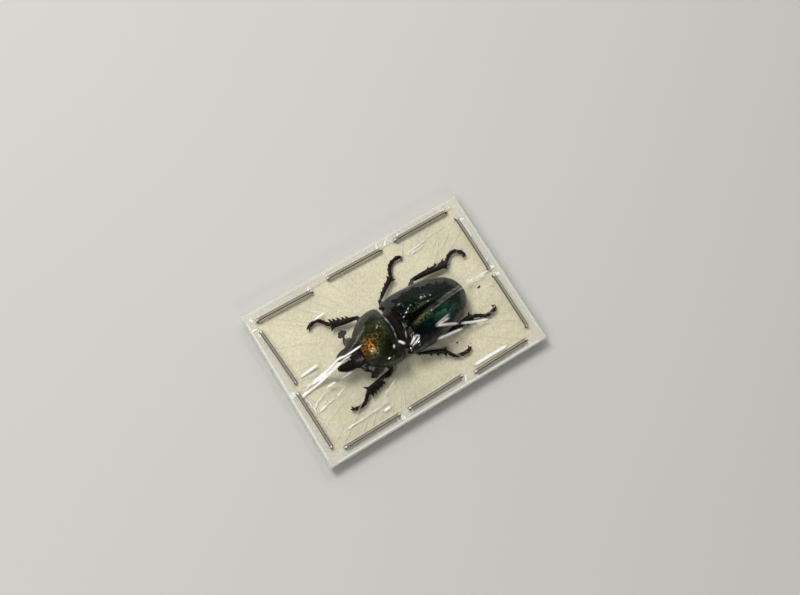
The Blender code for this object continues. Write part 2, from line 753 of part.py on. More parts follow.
def make_film(things):
    """The clear film: a thin sheet over the beetle, flat at the staples, folded at the rim."""
    xs = film_lines(CARD_LENGTH)
    ys = film_lines(CARD_WIDTH)
    heights = draped(beetle_tree(things), xs, ys)
    columns, rows = len(xs) - 1, len(ys) - 1
    build = bmesh.new()
    grid = [
        [build.verts.new((x, y, height)) for y, height in zip(ys, row)]
        for x, row in zip(xs, heights)
    ]
    for i in range(columns):
        for j in range(rows):
            a, b = grid[i][j], grid[i + 1][j]
            c, d = grid[i + 1][j + 1], grid[i][j + 1]
            if (i + j) % 2:
                build.faces.new((a, b, c))
                build.faces.new((a, c, d))
            else:
                build.faces.new((a, b, d))
                build.faces.new((b, c, d))
    rim = [edge for edge in build.edges if edge.is_boundary]
    skirt = bmesh.ops.extrude_edge_only(build, edges=rim)["geom"]
    for vert in (item for item in skirt if isinstance(item, bmesh.types.BMVert)):
        vert.co.z = CARD_BOTTOM + 0.1 * MM
    bmesh.ops.triangulate(build, faces=[face for face in build.faces if len(face.verts) > 3])
    mesh = mesh_of("film", build)
    if mesh.polygons[len(mesh.polygons) // 3].normal.z < 0:
        mesh.flip_normals()
    film = add_object("film", mesh, "clear_film")
    shell = film.modifiers.new("thickness", "SOLIDIFY")
    shell.thickness = FILM_THICKNESS
    shell.offset = 1.0
    cut_slots(film)
    return film


def make_beetle():
    """Every piece of the beetle, head to tail."""
    draw = random.Random(7)
    prothorax = body_piece("prothorax", PROTHORAX_STATIONS, 14, "green_gold")
    head = body_piece("head", HEAD_STATIONS, 6, "dark_shell")
    thorax = body_piece("thorax", THORAX_STATIONS, 8, "dark_shell")
    abdomen = body_piece("abdomen", ABDOMEN_STATIONS, 11, "dark_shell")
    elytra = [make_elytron("elytron_right", 1), make_elytron("elytron_left", -1)]
    scutellum = make_scutellum()
    clear_of(scutellum, [thorax, *elytra])
    jaws = [
        make_mandible("mandible_right", 1, 2.1, draw),
        make_mandible("mandible_left", -1, 2.9, draw),
    ]
    antennae = [
        make_antenna("antenna_right", 1, ((-10.4, 2.6, 2.6), (-10.3, 3.4, 2.5), (-10.1, 3.9, 2.4)),
                     (-9.8, 4.75, 2.2), 95),
        make_antenna("antenna_left", -1, ((-10.2, 2.6, 2.6), (-9.9, 3.4, 2.5), (-9.4, 3.8, 2.4)),
                     (-8.75, 4.75, 2.1), -70),
    ]
    eyes = []
    for side, name in ((1, "eye_right"), (-1, "eye_left")):
        mesh = ball_mesh(name, (-9.7, side * 2.85, 3.1), EYE_RADIUS, (1, 0.95, 1.0), 14, 10)
        eyes.append(add_object(name, mesh, "eye_black", BEETLE))
    for piece in (*jaws, *eyes):
        clear_of(piece, [head])
    for antenna in antennae:
        clear_of(antenna, [head, *eyes])
    legs = [make_leg(name, pose, draw) for name, pose in LEGS.items()]
    for leg in legs:
        front = leg.name.startswith("foreleg")
        clear_of(leg, [prothorax] if front else [thorax, abdomen, *elytra])
    return [prothorax, head, thorax, abdomen, *elytra, scutellum, *jaws, *antennae, *eyes, *legs]


clear_scene()
PARTS = make_collection("saw_tooth_beetle")
CUTTERS = make_collection("cutters")
MATERIALS = make_materials()
BEETLE = bpy.data.objects.new("beetle_frame", None)
PARTS.objects.link(BEETLE)
BEETLE.location = (0, BEETLE_SHIFT, CARD_TOP)
BEETLE.rotation_euler.z = BEETLE_TURN
bpy.context.view_layer.update()
make_slot_cutters()
make_card()
for staple_name, staple_place in STAPLES.items():
    make_staple(staple_name, *staple_place)
make_film(make_beetle())
bpy.context.view_layer.update()
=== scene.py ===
"""Saw-tooth beetle, dried, on a pale card under stretched clear film held by ten staples.

Row frame: origin on the surface the card lies on, +X along the card's long side
towards the beetle's tail, +Y towards the beetle's right side, +Z up. Metres.
Pieces are shaped in millimetres and brought to metres in their meshes.
"""

import math
import random

import bmesh
import bpy
import numpy as np
from bpy.props import FloatProperty, FloatVectorProperty, IntProperty, PointerProperty
from mathutils import Matrix, Vector, noise
from mathutils.bvhtree import BVHTree


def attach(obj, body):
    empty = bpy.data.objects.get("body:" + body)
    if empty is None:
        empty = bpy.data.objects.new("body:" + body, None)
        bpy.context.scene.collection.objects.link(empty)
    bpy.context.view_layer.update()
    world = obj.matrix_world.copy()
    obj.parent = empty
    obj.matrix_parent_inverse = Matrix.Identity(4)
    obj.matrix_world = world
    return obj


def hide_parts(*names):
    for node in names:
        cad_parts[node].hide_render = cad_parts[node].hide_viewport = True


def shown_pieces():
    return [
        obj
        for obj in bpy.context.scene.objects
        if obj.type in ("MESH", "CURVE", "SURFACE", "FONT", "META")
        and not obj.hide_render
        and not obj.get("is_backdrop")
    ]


bl_info = {
    "name": "Saw-tooth Beetle Under Film",
    "version": (1, 0, 0),
    "blender": (4, 5, 0),
    "location": "3D View > Sidebar > Beetle",
    "description": "A dried beetle on a card under stretched clear film",
    "category": "Object",
}

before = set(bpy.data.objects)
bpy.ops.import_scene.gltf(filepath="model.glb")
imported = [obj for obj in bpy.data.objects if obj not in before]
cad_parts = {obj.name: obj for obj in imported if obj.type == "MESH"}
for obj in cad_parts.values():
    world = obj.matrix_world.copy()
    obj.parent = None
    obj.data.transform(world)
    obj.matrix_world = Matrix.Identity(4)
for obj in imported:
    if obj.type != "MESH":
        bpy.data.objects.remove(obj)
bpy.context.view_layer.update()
MM = 0.001

# Card, clear film and staples (mm)
CARD_LENGTH = 50.0
CARD_WIDTH = 34.4
CARD_BOTTOM = 0.7
CARD_TOP = 2.2
FILM_GAP = 0.2
FILM_FLAT_BAND = 3.0
WIRE_WIDTH = 0.64
WIRE_THICKNESS = 0.5
CROWN_BOTTOM = 2.82
STAPLE_CROWN = 12.8
STAPLE_LEG_TURN = 3.4
WIRE_BEND = 0.75
WIRE_CORNER = 0.16
CROWN_STEPS = 12
# Painted highlight on each crown: its inset from the crown's ends and its width (mm)
PAINTED_GLINT_INSET = 0.4
PAINTED_GLINT_WIDTH = 0.16
STAPLES = {
    "staple_right_1": (-16.6, 14.9, -1.5),
    "staple_right_2": (-0.2, 15.3, -1.0),
    "staple_right_3": (15.5, 15.4, -0.4),
    "staple_tail_1": (22.6, 6.9, 90.0),
    "staple_tail_2": (22.7, -7.1, 90.0),
    "staple_left_1": (15.0, -15.6, 1.2),
    "staple_left_2": (0.0, -15.1, 0.8),
    "staple_left_3": (-14.6, -15.2, 0.4),
    "staple_head_1": (-22.85, 6.6, -86.6),
    "staple_head_2": (-23.1, -7.7, -88.5),
}

# Folds in the film: ends on the card (mm), height, width, whiteness (creased film, partly painted highlight)
# and width of its line
FOLDS = (
    ((-8.0, -0.5), (-14.9, -0.5), 0.34, 0.5, 0.85, 0.15),
    ((-14.0, -0.5), (-20.6, -1.5), 0.26, 0.5, 0.9, 0.20),
    ((-10.4, -0.85), (-19.2, -1.6), 0.20, 0.4, 0.7, 0.13),
    ((-12.8, -1.3), (-23.0, -2.5), 0.30, 0.5, 0.9, 0.16),
    ((-17.0, -1.2), (-20.4, -1.5), 0.10, 0.7, 0.6, 0.26),
    ((-20.8, -2.1), (-23.4, -2.7), 0.10, 0.7, 0.8, 0.30),
    ((-11.6, -3.8), (-15.1, -3.6), 0.14, 0.3, 0.6, 0.10),
    ((-15.5, -3.6), (-18.1, -3.4), 0.16, 0.4, 0.9, 0.19),
    ((-15.5, -4.3), (-19.3, -4.0), 0.08, 0.3, 0.3, 0.10),
    ((-16.5, 1.4), (-21.6, 1.0), 0.14, 0.6, 0.7, 0.27), ((-17.0, 0.0), (-20.5, -0.1), 0.08, 0.4, 0.3, 0.14),
    ((-10.1, 9.8), (-13.7, 9.25), 0.16, 0.35, 0.9, 0.13),
    ((-5.3, -9.0), (-9.5, -10.7), 0.10, 0.3, 0.5, 0.11),
    ((-7.2, -11.3), (-13.5, -11.6), 0.08, 0.3, 0.35, 0.10),
    ((-8.0, -11.8), (-19.2, -12.5), 0.10, 0.3, 0.5, 0.10),
    ((-8.8, -13.0), (-10.9, -13.1), 0.10, 0.5, 0.9, 0.26),
    ((-18.4, -5.1), (-22.1, -7.2), 0.08, 0.3, 0.4, 0.10),
    ((-17.7, -5.6), (-21.5, -7.2), 0.08, 0.3, 0.4, 0.10),
    ((-19.8, -4.7), (-22.2, -5.4), 0.10, 0.4, 0.4, 0.16),
    ((-14.2, -12.4), (-18.9, -12.2), 0.08, 0.3, 0.5, 0.10),
    ((17.2, -8.3), (10.7, -6.3), 0.24, 0.5, 0.85, 0.19), ((10.9, -6.3), (5.6, -4.7), 0.18, 0.5, 0.80, 0.19),
    ((11.3, -7.4), (4.7, -6.9), 0.20, 0.5, 0.85, 0.20), ((9.6, -4.7), (6.0, -4.7), 0.06, 0.3, 0.5, 0.10),
    ((15.3, 12.3), (9.5, 11.8), 0.08, 0.3, 0.45, 0.09), ((14.7, 11.6), (9.9, 11.4), 0.08, 0.3, 0.45, 0.09),
    ((17.8, 11.7), (13.9, 7.6), 0.06, 0.3, 0.25, 0.10), ((20.5, 13.0), (12.9, 12.4), 0.06, 0.3, 0.25, 0.12),
    ((17.6, -14.5), (9.0, -14.5), 0.10, 0.6, 0.9, 0.30),
    ((20.5, -12.6), (14.8, -11.4), 0.06, 0.4, 0.2, 0.12),
    ((22.3, -10.9), (18.4, -10.0), 0.06, 0.4, 0.2, 0.12),
    ((19.9, -4.0), (14.6, -4.2), 0.06, 0.4, 0.2, 0.12), ((22.4, -0.6), (15.0, 0.1), 0.22, 0.9, 0.18, 0.4),
    ((16.4, -0.1), (7.6, -1.2), 0.30, 1.4, 0.10, 0.5), ((15.8, 0.2), (9.4, -0.6), 0.10, 0.4, 0.20, 0.13),
    ((15.9, -0.4), (6.0, -1.9), 0.10, 0.4, 0.20, 0.13), ((8.2, -1.1), (1.5, -2.6), 0.10, 0.9, 0.10, 0.4),
    # Short low folds over the beetle: mostly painted highlights on the wing cases and prothorax
    ((-0.4, -5.35), (1.7, -4.45), 0.05, 0.3, 0.9, 0.14), ((0.5, -5.75), (2.2, -4.85), 0.05, 0.3, 0.9, 0.14),
    ((0.2, -5.0), (1.4, -4.2), 0.05, 0.3, 0.6, 0.12), ((-0.2, -5.85), (1.3, -5.1), 0.05, 0.3, 0.7, 0.11),
    ((1.2, -4.2), (2.3, -4.9), 0.05, 0.3, 0.6, 0.11), ((-2.1, -3.35), (-0.85, -4.7), 0.05, 0.3, 0.9, 0.20),
    ((-3.0, -3.6), (-3.45, -4.45), 0.04, 0.3, 0.6, 0.16),
    ((-1.95, 4.6), (-1.85, 1.8), 0.05, 0.3, 0.30, 0.13),
    ((-1.85, 2.2), (-1.58, -0.2), 0.05, 0.3, 0.30, 0.13),
    ((-1.58, 0.2), (-1.66, -1.8), 0.05, 0.3, 0.25, 0.13),
    ((-1.6, -1.3), (-2.05, -3.2), 0.05, 0.3, 0.25, 0.13),
    ((0.66, -0.5), (0.38, -2.5), 0.04, 0.3, 0.20, 0.13),
    ((0.42, -2.2), (-0.35, -4.1), 0.04, 0.3, 0.30, 0.13),
    ((5.4, -4.7), (10.0, -3.9), 0.06, 0.4, 0.40, 0.18), ((6.4, -4.9), (9.6, -4.4), 0.06, 0.4, 0.40, 0.18),
    ((1.1, -0.15), (1.65, -0.05), 0.02, 0.3, 0.45, 0.11), ((1.9, 0.2), (2.5, 0.5), 0.02, 0.3, 0.55, 0.13),
    ((2.6, 0.65), (3.2, 0.95), 0.02, 0.3, 0.50, 0.11), ((3.4, 1.05), (3.9, 1.2), 0.02, 0.3, 0.30, 0.11),
    ((4.5, 0.95), (4.9, 1.1), 0.02, 0.3, 0.30, 0.10), ((6.5, -1.7), (6.7, -1.9), 0.02, 0.3, 0.50, 0.12),
    ((1.3, 2.55), (2.4, 2.45), 0.02, 0.3, 0.26, 0.16), ((8.0, 0.9), (8.3, 0.95), 0.02, 0.3, 0.5, 0.12),
    ((-10.7, 0.0), (-5.8, 2.0), 0.03, 0.3, 0.16, 0.14), ((-11.6, -0.3), (-7.5, 1.1), 0.03, 0.3, 0.14, 0.12),
    ((-9.2, 0.8), (-5.1, 2.7), 0.03, 0.3, 0.13, 0.16), ((-4.6, 0.6), (-3.7, 1.1), 0.02, 0.3, 0.35, 0.10),
    ((-5.2, 0.1), (-4.6, -0.7), 0.02, 0.3, 0.25, 0.10),
    ((-18.2, -1.4), (-12.6, -0.1), 0.10, 0.4, 0.80, 0.14),
    ((-19.8, -0.9), (-15.8, -0.8), 0.08, 0.3, 0.80, 0.11),
    ((-16.4, -0.9), (-11.8, -0.2), 0.08, 0.3, 0.80, 0.12),
    ((-18.9, -1.9), (-14.8, -1.1), 0.08, 0.3, 0.70, 0.11),
    ((-22.4, -0.6), (-18.2, -1.8), 0.06, 0.5, 0.35, 0.20),
    ((-21.9, -1.8), (-19.5, -1.0), 0.06, 0.3, 0.70, 0.12),
    ((-21.6, -5.4), (-17.9, -3.7), 0.06, 0.3, 0.45, 0.10),
    ((-21.8, -6.9), (-19.0, -6.1), 0.06, 0.3, 0.75, 0.10),
    ((-19.5, -6.3), (-17.1, -5.9), 0.06, 0.3, 0.60, 0.10),
    ((-17.5, -6.1), (-14.4, -5.1), 0.06, 0.3, 0.50, 0.10),
    ((-22.0, -5.8), (-20.8, -5.2), 0.06, 0.4, 0.60, 0.16),
    ((-23.0, 11.8), (-22.5, -0.2), 0.05, 0.3, 0.75, 0.11),
    ((-21.9, 7.0), (-21.9, 0.4), 0.05, 0.3, 0.45, 0.10),
    ((-22.5, -2.3), (-21.7, -7.7), 0.05, 0.3, 0.60, 0.11),
    ((-22.1, -6.6), (-22.0, -13.3), 0.05, 0.3, 0.50, 0.10),
    ((23.3, 13.3), (23.4, 7.5), 0.05, 0.3, 0.60, 0.16), ((23.0, 8.2), (23.2, 1.3), 0.05, 0.3, 0.45, 0.12),
    ((23.0, -1.0), (23.4, -9.6), 0.05, 0.3, 0.35, 0.10), ((15.8, 0.3), (19.3, 0.3), 0.20, 0.6, 0.36, 0.26),
    ((18.9, 0.3), (24.7, 0.5), 0.16, 0.6, 0.42, 0.22),
    # Pale lines along the card's rim: painted highlights
    ((-24.2, 16.85), (24.2, 16.85), 0.0, 0.3, 0.35, 0.09),
    ((-24.2, -16.85), (24.2, -16.85), 0.0, 0.3, 0.45, 0.09),
    ((-24.65, -16.5), (-24.65, 16.5), 0.0, 0.3, 0.45, 0.09),
    ((24.65, -16.5), (24.65, 16.5), 0.0, 0.3, 0.35, 0.09),
    ((16.2, 0.9), (22.1, -0.1), 0.06, 0.3, 0.40, 0.10), ((14.4, 9.9), (18.6, 12.3), 0.05, 0.5, 0.20, 0.20),
    ((15.5, 8.7), (20.1, 11.4), 0.05, 0.5, 0.22, 0.24), ((14.8, 12.9), (19.3, 16.2), 0.05, 0.5, 0.18, 0.20),
    ((17.0, 7.2), (20.2, 9.2), 0.05, 0.5, 0.15, 0.20), ((15.6, -3.7), (19.7, -1.9), 0.05, 0.6, 0.20, 0.25),
    ((15.9, -5.1), (21.8, -3.5), 0.05, 0.6, 0.18, 0.25),
    ((15.8, -7.1), (21.6, -6.3), 0.05, 0.6, 0.20, 0.22),
    ((15.5, -9.8), (21.1, -10.3), 0.05, 0.6, 0.16, 0.25),
)

# Beetle: where its middle line lies on the card, and how far it is turned
BEETLE_SHIFT = -0.85
BEETLE_TURN = math.radians(1.7)

# Wing cases: stations from front to tail as x, half width, crown height, edge height (mm)
ELYTRA_STATIONS = (
    (-1.2, 5.35, 4.9, 3.0),
    (0.0, 5.95, 5.9, 3.0),
    (2.0, 6.25, 6.8, 2.9),
    (5.0, 6.1, 7.1, 2.8),
    (8.0, 5.7, 6.7, 2.7),
    (10.5, 5.1, 5.9, 2.6),
    (12.5, 4.4, 4.9, 2.4),
    (14.2, 3.2, 3.8, 2.2),
    (15.1, 1.9, 3.0, 2.1),
    (15.4, 1.0, 2.7, 2.0),
)
ELYTRON_WALL = 0.3
SHOULDER_FRONT = -1.1
SCUTELLUM_FRONT = 0.7
SCUTELLUM_LENGTH = 1.9
SCUTELLUM_HALF_WIDTH = 1.25

# Body pieces: stations as x, half width, top, side and bottom heights (mm)
PROTHORAX_STATIONS = (
    (-8.75, 3.35, 4.7, 2.9, 1.3),
    (-8.0, 4.1, 5.5, 3.0, 1.0),
    (-6.8, 4.95, 6.1, 3.1, 0.8),
    (-5.3, 5.65, 6.5, 3.1, 0.7),
    (-3.8, 5.9, 6.6, 3.1, 0.7),
    (-2.5, 5.75, 6.3, 3.1, 0.8),
    (-1.75, 5.3, 5.9, 3.0, 1.0),
    (-1.5, 4.6, 5.4, 2.9, 1.3),
)
HEAD_STATIONS = (
    (-8.95, 3.1, 4.35, 2.8, 1.3),
    (-9.6, 3.15, 4.5, 2.8, 1.2),
    (-10.2, 2.9, 4.3, 2.8, 1.3),
    (-10.7, 2.55, 3.9, 2.7, 1.5),
    (-11.05, 2.2, 3.6, 2.6, 1.7),
)
THORAX_STATIONS = (
    (-1.3, 4.0, 4.7, 2.7, 0.9),
    (-0.3, 4.5, 5.2, 2.6, 0.6),
    (0.9, 5.0, 5.3, 2.5, 0.5),
    (2.4, 5.25, 5.7, 2.4, 0.4),
    (4.75, 5.2, 6.1, 2.3, 0.4),
)
ABDOMEN_STATIONS = (
    (4.8, 5.05, 5.95, 2.2, 0.45),
    (6.5, 4.9, 5.8, 2.2, 0.45),
    (8.0, 4.65, 5.5, 2.1, 0.5),
    (10.0, 4.3, 5.0, 2.0, 0.6),
    (12.0, 3.6, 4.15, 1.8, 0.8),
    (13.4, 2.6, 3.3, 1.6, 1.0),
    (14.2, 1.7, 2.7, 1.6, 1.2),
)
PUNCTURE_PITCH = 0.52
PUNCTURE_DEPTH = 0.07
EYE_PLACE = (-9.7, 2.85, 3.1)
EYE_RADIUS = 0.85

# How the ends of swept tubes and of body pieces are rounded in: rings as (out, size), turns (degrees)
END_RINGS = ((0.9, 0.35), (0.5, 0.8))
BODY_END_TURNS = (25, 50, 72)
BODY_END_ROUND = 0.12

# Jaws: the side and the reach of each, and the teeth along their inner edges (mm)
JAWS = {"mandible_right": (1, 2.1), "mandible_left": (-1, 2.9)}
MANDIBLE_ROOT_X = -11.15
JAW_TEETH = 8
JAW_TOOTH_LENGTH = 0.3
JAW_MIDDLE_GAP = 0.08

# Crumbs on the card: x, y, thickness and length (mm)
SPECKS = (
    (18.9, -1.5, 0.36, 0.7), (9.0, -8.9, 0.26, 0.5),
    (11.3, -10.4, 0.14, 0.26), (21.6, -2.8, 0.12, 0.18),
)

# Film: flat size, how it is pulled taut, its white rim (partly painted highlight), its long folds and its
# stand-off ring of stronger reflection and faint painted haze (mm)
FILM_SUCTION = 0.12
TAUT_STEPS = 420
TAUT_PACE = 1.9
RIM_WHITE_AND_HIGHLIGHT = 0.26
RIM_WIDTH = 1.8
RIM_CRUMPLES = 4
STAPLE_FOLDS = 7
LONG_FOLD = 2.6
LONG_FOLD_WIDTH = 0.42
LONG_FOLD_LINE = 0.135
VEIL_FROM = CARD_TOP + 1.9
RING_STEPS = 14
CLEAR_OVER_HEAD = (-9.3, -0.2)

# The film's rows turned down over the card's edge: outward step, drop and whiteness (painted highlight along
# the edge)
SKIRT = ((0.04, 0.1, 0.35), (0.09, 0.3, 0.6), (0.1, 0.9, 0.12), (0.1, 1.4, 0.12), (0.05, 1.62, 0.3))

# Legs: where the thigh leaves the body, knee, shin length and heading, the foot's scale,
# headings of the five foot joints and of the claws, the shin's widths at knee and ankle,
# saw teeth as (place along the shin, side)
LEGS = {
    "foreleg_right": {
        "root": (-4.9, 3.4), "knee": (-5.4, 6.4), "shin": (5.4, 163), "scale": 0.86,
        "foot": (129, 118, 129, 158, 190), "claw": 235, "widths": (0.75, 1.45),
        "teeth": ((0.40, -1), (0.54, -1), (0.70, -1), (0.86, -1), (0.99, -1), (0.99, 1)),
    },
    "foreleg_left": {
        "root": (-4.9, -3.4), "knee": (-5.5, -6.1), "shin": (6.1, 191), "scale": 0.82,
        "foot": (210, 231, 205, 187, 178), "claw": 105, "widths": (0.95, 1.7),
        "teeth": ((0.34, 1), (0.46, 1), (0.59, 1), (0.72, 1), (0.86, 1), (0.98, 1), (0.99, -1)),
    },
    "midleg_right": {
        "root": (0.2, 3.6), "knee": (0.15, 6.75), "shin": (5.5, 33), "scale": 0.94,
        "foot": (68, 62, 45, 25, 5), "claw": 282, "widths": (0.5, 1.0),
        "teeth": ((0.35, 1), (0.52, 1), (0.70, 1), (0.97, 1), (0.98, -1)),
    },
    "midleg_left": {
        "root": (0.4, -3.6), "knee": (1.0, -6.3), "shin": (5.4, 333), "scale": 0.90,
        "foot": (295, 309, 332, 353, 355), "claw": 70, "widths": (0.5, 1.0),
        "teeth": ((0.45, -1), (0.70, -1), (0.97, -1), (0.98, 1)),
    },
    "hindleg_right": {
        "root": (5.0, 3.6), "knee": (7.9, 6.95), "shin": (7.8, 355), "scale": 0.97,
        "foot": (36, 38, 15, 345, 312), "claw": 235, "widths": (0.85, 1.45),
        "teeth": ((0.55, 1), (0.76, 1), (0.98, 1), (0.98, -1)),
    },
    "hindleg_left": {
        "root": (5.0, -3.6), "knee": (7.2, -5.95), "shin": (6.8, 2), "scale": 0.95,
        "foot": (348, 325, 330, 355, 8), "claw": 110, "widths": (0.75, 1.4),
        "teeth": ((0.47, -1), (0.78, -1), (0.98, -1), (0.98, 1)),
    },
}
FOOT_JOINTS = (1.15, 0.95, 0.95, 0.9, 1.35)
SHIN_HEIGHT = 1.15
FOOT_HEIGHT = 0.75
KNEE_HEIGHT = 1.5
TOOTH_LENGTH = 0.85

# Feelers: root, bends, club centre and the heading of the club's fan
ANTENNAE = {
    "antenna_right": (
        1, ((-10.4, 2.6, 2.6), (-10.3, 3.4, 2.5), (-10.1, 3.9, 2.4)), (-9.8, 4.75, 2.2), 95,
    ),
    "antenna_left": (
        -1, ((-10.2, 2.6, 2.6), (-9.9, 3.4, 2.5), (-9.4, 3.8, 2.4)), (-8.75, 4.75, 2.1), -70,
    ),
}
CLUB_BEADS = 5
CLUB_LEAVES = 4
CLUB_LEAF_TURN = 48

# Hairs on each shin, on each foot joint, on each jaw and behind the prothorax
SHIN_HAIRS = 34
JOINT_HAIRS = 8
JAW_HAIRS = 170
FRINGE_HAIRS = 260

# Camera, from the photograph's view of the card's corners (metres, row frame)
CAMERA_PLACE = (-0.03973662, -0.03661295, 0.22211858)
CAMERA_RIGHT = (0.84810292, -0.52515693, 0.07022557)
CAMERA_UP = (0.4936979, 0.83140034, 0.25502127)
CAMERA_BACK = (-0.19231175, -0.18161407, 0.96438194)
CAMERA_LENS = 51.345

# Room light: heights as sines of elevation, and the small lamps that make the glints
ROOM_DARK_FROM = 0.62
ROOM_BRIGHT_TO = 0.90
ROOM_TOP = 0.03
ROOM_BRIGHT_SIDE = (0.3, 0.95, 0.0)
ROOM_FAR_SIDE = 0.18
ROOM_STRENGTH = 0.8
LAMP_DISTANCE = 0.45
LAMPS = (
    ("lamp_left", (-0.17, -0.82, 0.50), 0.035, 0.22),
    ("lamp_head", (-0.59, -0.13, 0.80), 0.10, 0.46),
    ("lamp_tail", (0.45, 0.50, 0.72), 0.03, 0.22),
)
KEY_PLACE = (-0.08, 0.33, 0.47)
KEY_SIZE = 0.24
KEY_POWER = 2.8
STAGE_TARGET = (0, 0, 0.004)
FLOOR_COLOUR = (0.50, 0.50, 0.485)


# Properties that a user would change


class BeetleSizes(bpy.types.PropertyGroup):
    """Fineness and small sizes of the pieces, in millimetres where nothing else is said."""

    voxel: FloatProperty(name="Fine Grain", description="Joined pieces' cell (mm)", default=0.042)
    film_cell: FloatProperty(name="Film Cell", description="Film mesh's cell (mm)", default=0.21)
    film_thickness: FloatProperty(name="Film Thickness", description="Film (mm)", default=0.045)
    film_clearance: FloatProperty(name="Film Gap", description="Over the body (mm)", default=0.12)
    hair_radius: FloatProperty(name="Hair Radius", description="At its root (mm)", default=0.02)
    staple_sides: IntProperty(name="Wire Steps", description="Steps of a wire bend", default=8)


def colour_property(name, note, colour):
    """A colour that a user can change."""
    return FloatVectorProperty(name=name, description=note, subtype="COLOR", default=colour)


class BeetleColours(bpy.types.PropertyGroup):
    """Main colours of the finishes."""

    card: colour_property("Card", "Pale card", (0.67, 0.63, 0.475))
    # Teal: the wing cases' own colour, laid as a stripe of painted sheen
    teal: colour_property("Wing Case Sheen", "Teal sheen", (0.016, 0.10, 0.07))
    # Copper: the prothorax's own colour, brightest where it is laid as a painted highlight
    copper: colour_property("Copper Glow", "Glow on the prothorax", (0.68, 0.23, 0.04))
    dark: colour_property("Dark Shell", "Brown-black shell", (0.006, 0.004, 0.003))


# Shapes


def smooth_value(stations, x, column):
    """A column of a station table at x, on a smooth curve through its stations."""
    xs = [row[0] for row in stations]
    ys = [row[column] for row in stations]
    if xs[0] > xs[-1]:
        xs, ys = xs[::-1], ys[::-1]
    x = min(max(x, xs[0]), xs[-1])
    i = max(k for k in range(len(xs) - 1) if xs[k] <= x)
    slopes = [(ys[k + 1] - ys[k]) / (xs[k + 1] - xs[k]) for k in range(len(xs) - 1)]
    tangents = [slopes[0]] + [(a + b) / 2 for a, b in zip(slopes, slopes[1:])] + [slopes[-1]]
    span = xs[i + 1] - xs[i]
    t = (x - xs[i]) / span
    return (
        ys[i] * (2 * t**3 - 3 * t**2 + 1)
        + ys[i + 1] * (3 * t**2 - 2 * t**3)
        + tangents[i] * span * (t**3 - 2 * t**2 + t)
        + tangents[i + 1] * span * (t**3 - t**2)
    )


def bell(value, middle, width):
    """From 1 at the middle value down to 0 well away from it."""
    return math.exp(-(((value - middle) / width) ** 2))


def grain(x, y, z, size, seed=0.0):
    """Smooth noise from -1 to 1 at a place in millimetres."""
    return noise.noise(Vector((x / size + seed, y / size - seed, z / size)))


def heading(degrees):
    """The level direction at an angle from +X towards +Y."""
    return Vector((math.cos(math.radians(degrees)), math.sin(math.radians(degrees)), 0))


def in_scene(name, data):
    """An object in the scene that holds a mesh, a lamp or a camera."""
    thing = bpy.data.objects.new(name, data)
    bpy.context.scene.collection.objects.link(thing)
    return thing


def mesh_from(build, name):
    """The mesh that a finished bmesh holds."""
    mesh = bpy.data.meshes.new(name)
    build.to_mesh(mesh)
    build.free()
    return mesh


def shell_of(rings):
    """Points and faces of a closed surface through rings of equal count."""
    count = len(rings[0])
    points = [tuple(point) for ring in rings for point in ring]
    faces = []
    for i in range(len(rings) - 1):
        a, b = i * count, (i + 1) * count
        for k in range(count):
            n = (k + 1) % count
            faces.append((a + k, a + n, b + n, b + k))
    for row, ring in ((0, rings[0]), (len(rings) - 1, rings[-1])):
        middle = sum((Vector(point) for point in ring), Vector()) / count
        points.append(tuple(middle))
        centre = len(points) - 1
        faces += [(row * count + k, row * count + (k + 1) % count, centre) for k in range(count)]
    return points, faces


def closed_mesh(name, shells):
    """One mesh from closed shells of points and faces, each with outward faces."""
    build = bmesh.new()
    for points, faces in shells:
        verts = [build.verts.new(point) for point in points]
        made = [build.faces.new([verts[k] for k in face]) for face in faces]
        bmesh.ops.recalc_face_normals(build, faces=made)
        volume = sum(
            face.verts[0].co.dot(face.verts[k].co.cross(face.verts[k + 1].co))
            for face in made
            for k in range(1, len(face.verts) - 1)
        )
        if volume < 0:
            bmesh.ops.reverse_faces(build, faces=made)
    return mesh_from(build, name)


def curve_through(points, values, steps):
    """A smooth path through points, and its values, at even steps."""
    path, along = [], []
    last = len(points) - 1
    for k in range(steps + 1):
        place = min(k * last / steps, last - 1e-6)
        i = int(place)
        t = place - i
        around = [min(max(i + d, 0), last) for d in (-1, 0, 1, 2)]
        weights = (
            (-t + 2 * t**2 - t**3) / 2,
            (2 - 5 * t**2 + 3 * t**3) / 2,
            (t + 4 * t**2 - 3 * t**3) / 2,
            (-(t**2) + t**3) / 2,
        )
        path.append(sum((points[n] * w for n, w in zip(around, weights)), Vector()))
        along.append(sum(values[n] * w for n, w in zip(around, weights)))
    return path, along


def sweep(points, radii, flatten=1.0, sides=16, steps=24, blunt=0.5):
    """A closed tube along a smooth path, flattened by a factor, with rounded ends."""
    def round_end(sign):
        return [(size, sign * blunt * push) for push, size in END_RINGS]

    path, widths = curve_through([Vector(p) for p in points], list(radii), steps)
    rings = []
    for k, place in enumerate(path):
        forward = (path[min(k + 1, steps)] - path[max(k - 1, 0)]).normalized()
        across = forward.cross(Vector((0, 0, 1)))
        across = across.normalized() if across.length > 1e-6 else Vector((0, 1, 0))
        upward = across.cross(forward).normalized()
        ring_sets = [(1.0, 0.0)]
        if k == 0:
            ring_sets = round_end(-1) + ring_sets
        if k == steps:
            ring_sets += round_end(1)[::-1]
        for size, push in ring_sets:
            radius = max(widths[k], 0.01) * size
            middle = place + forward * push * max(widths[k], 0.01)
            rings.append([
                middle
                + across * radius * math.cos(2 * math.pi * j / sides)
                + upward * radius * flatten * math.sin(2 * math.pi * j / sides)
                for j in range(sides)
            ])
    return shell_of(rings)


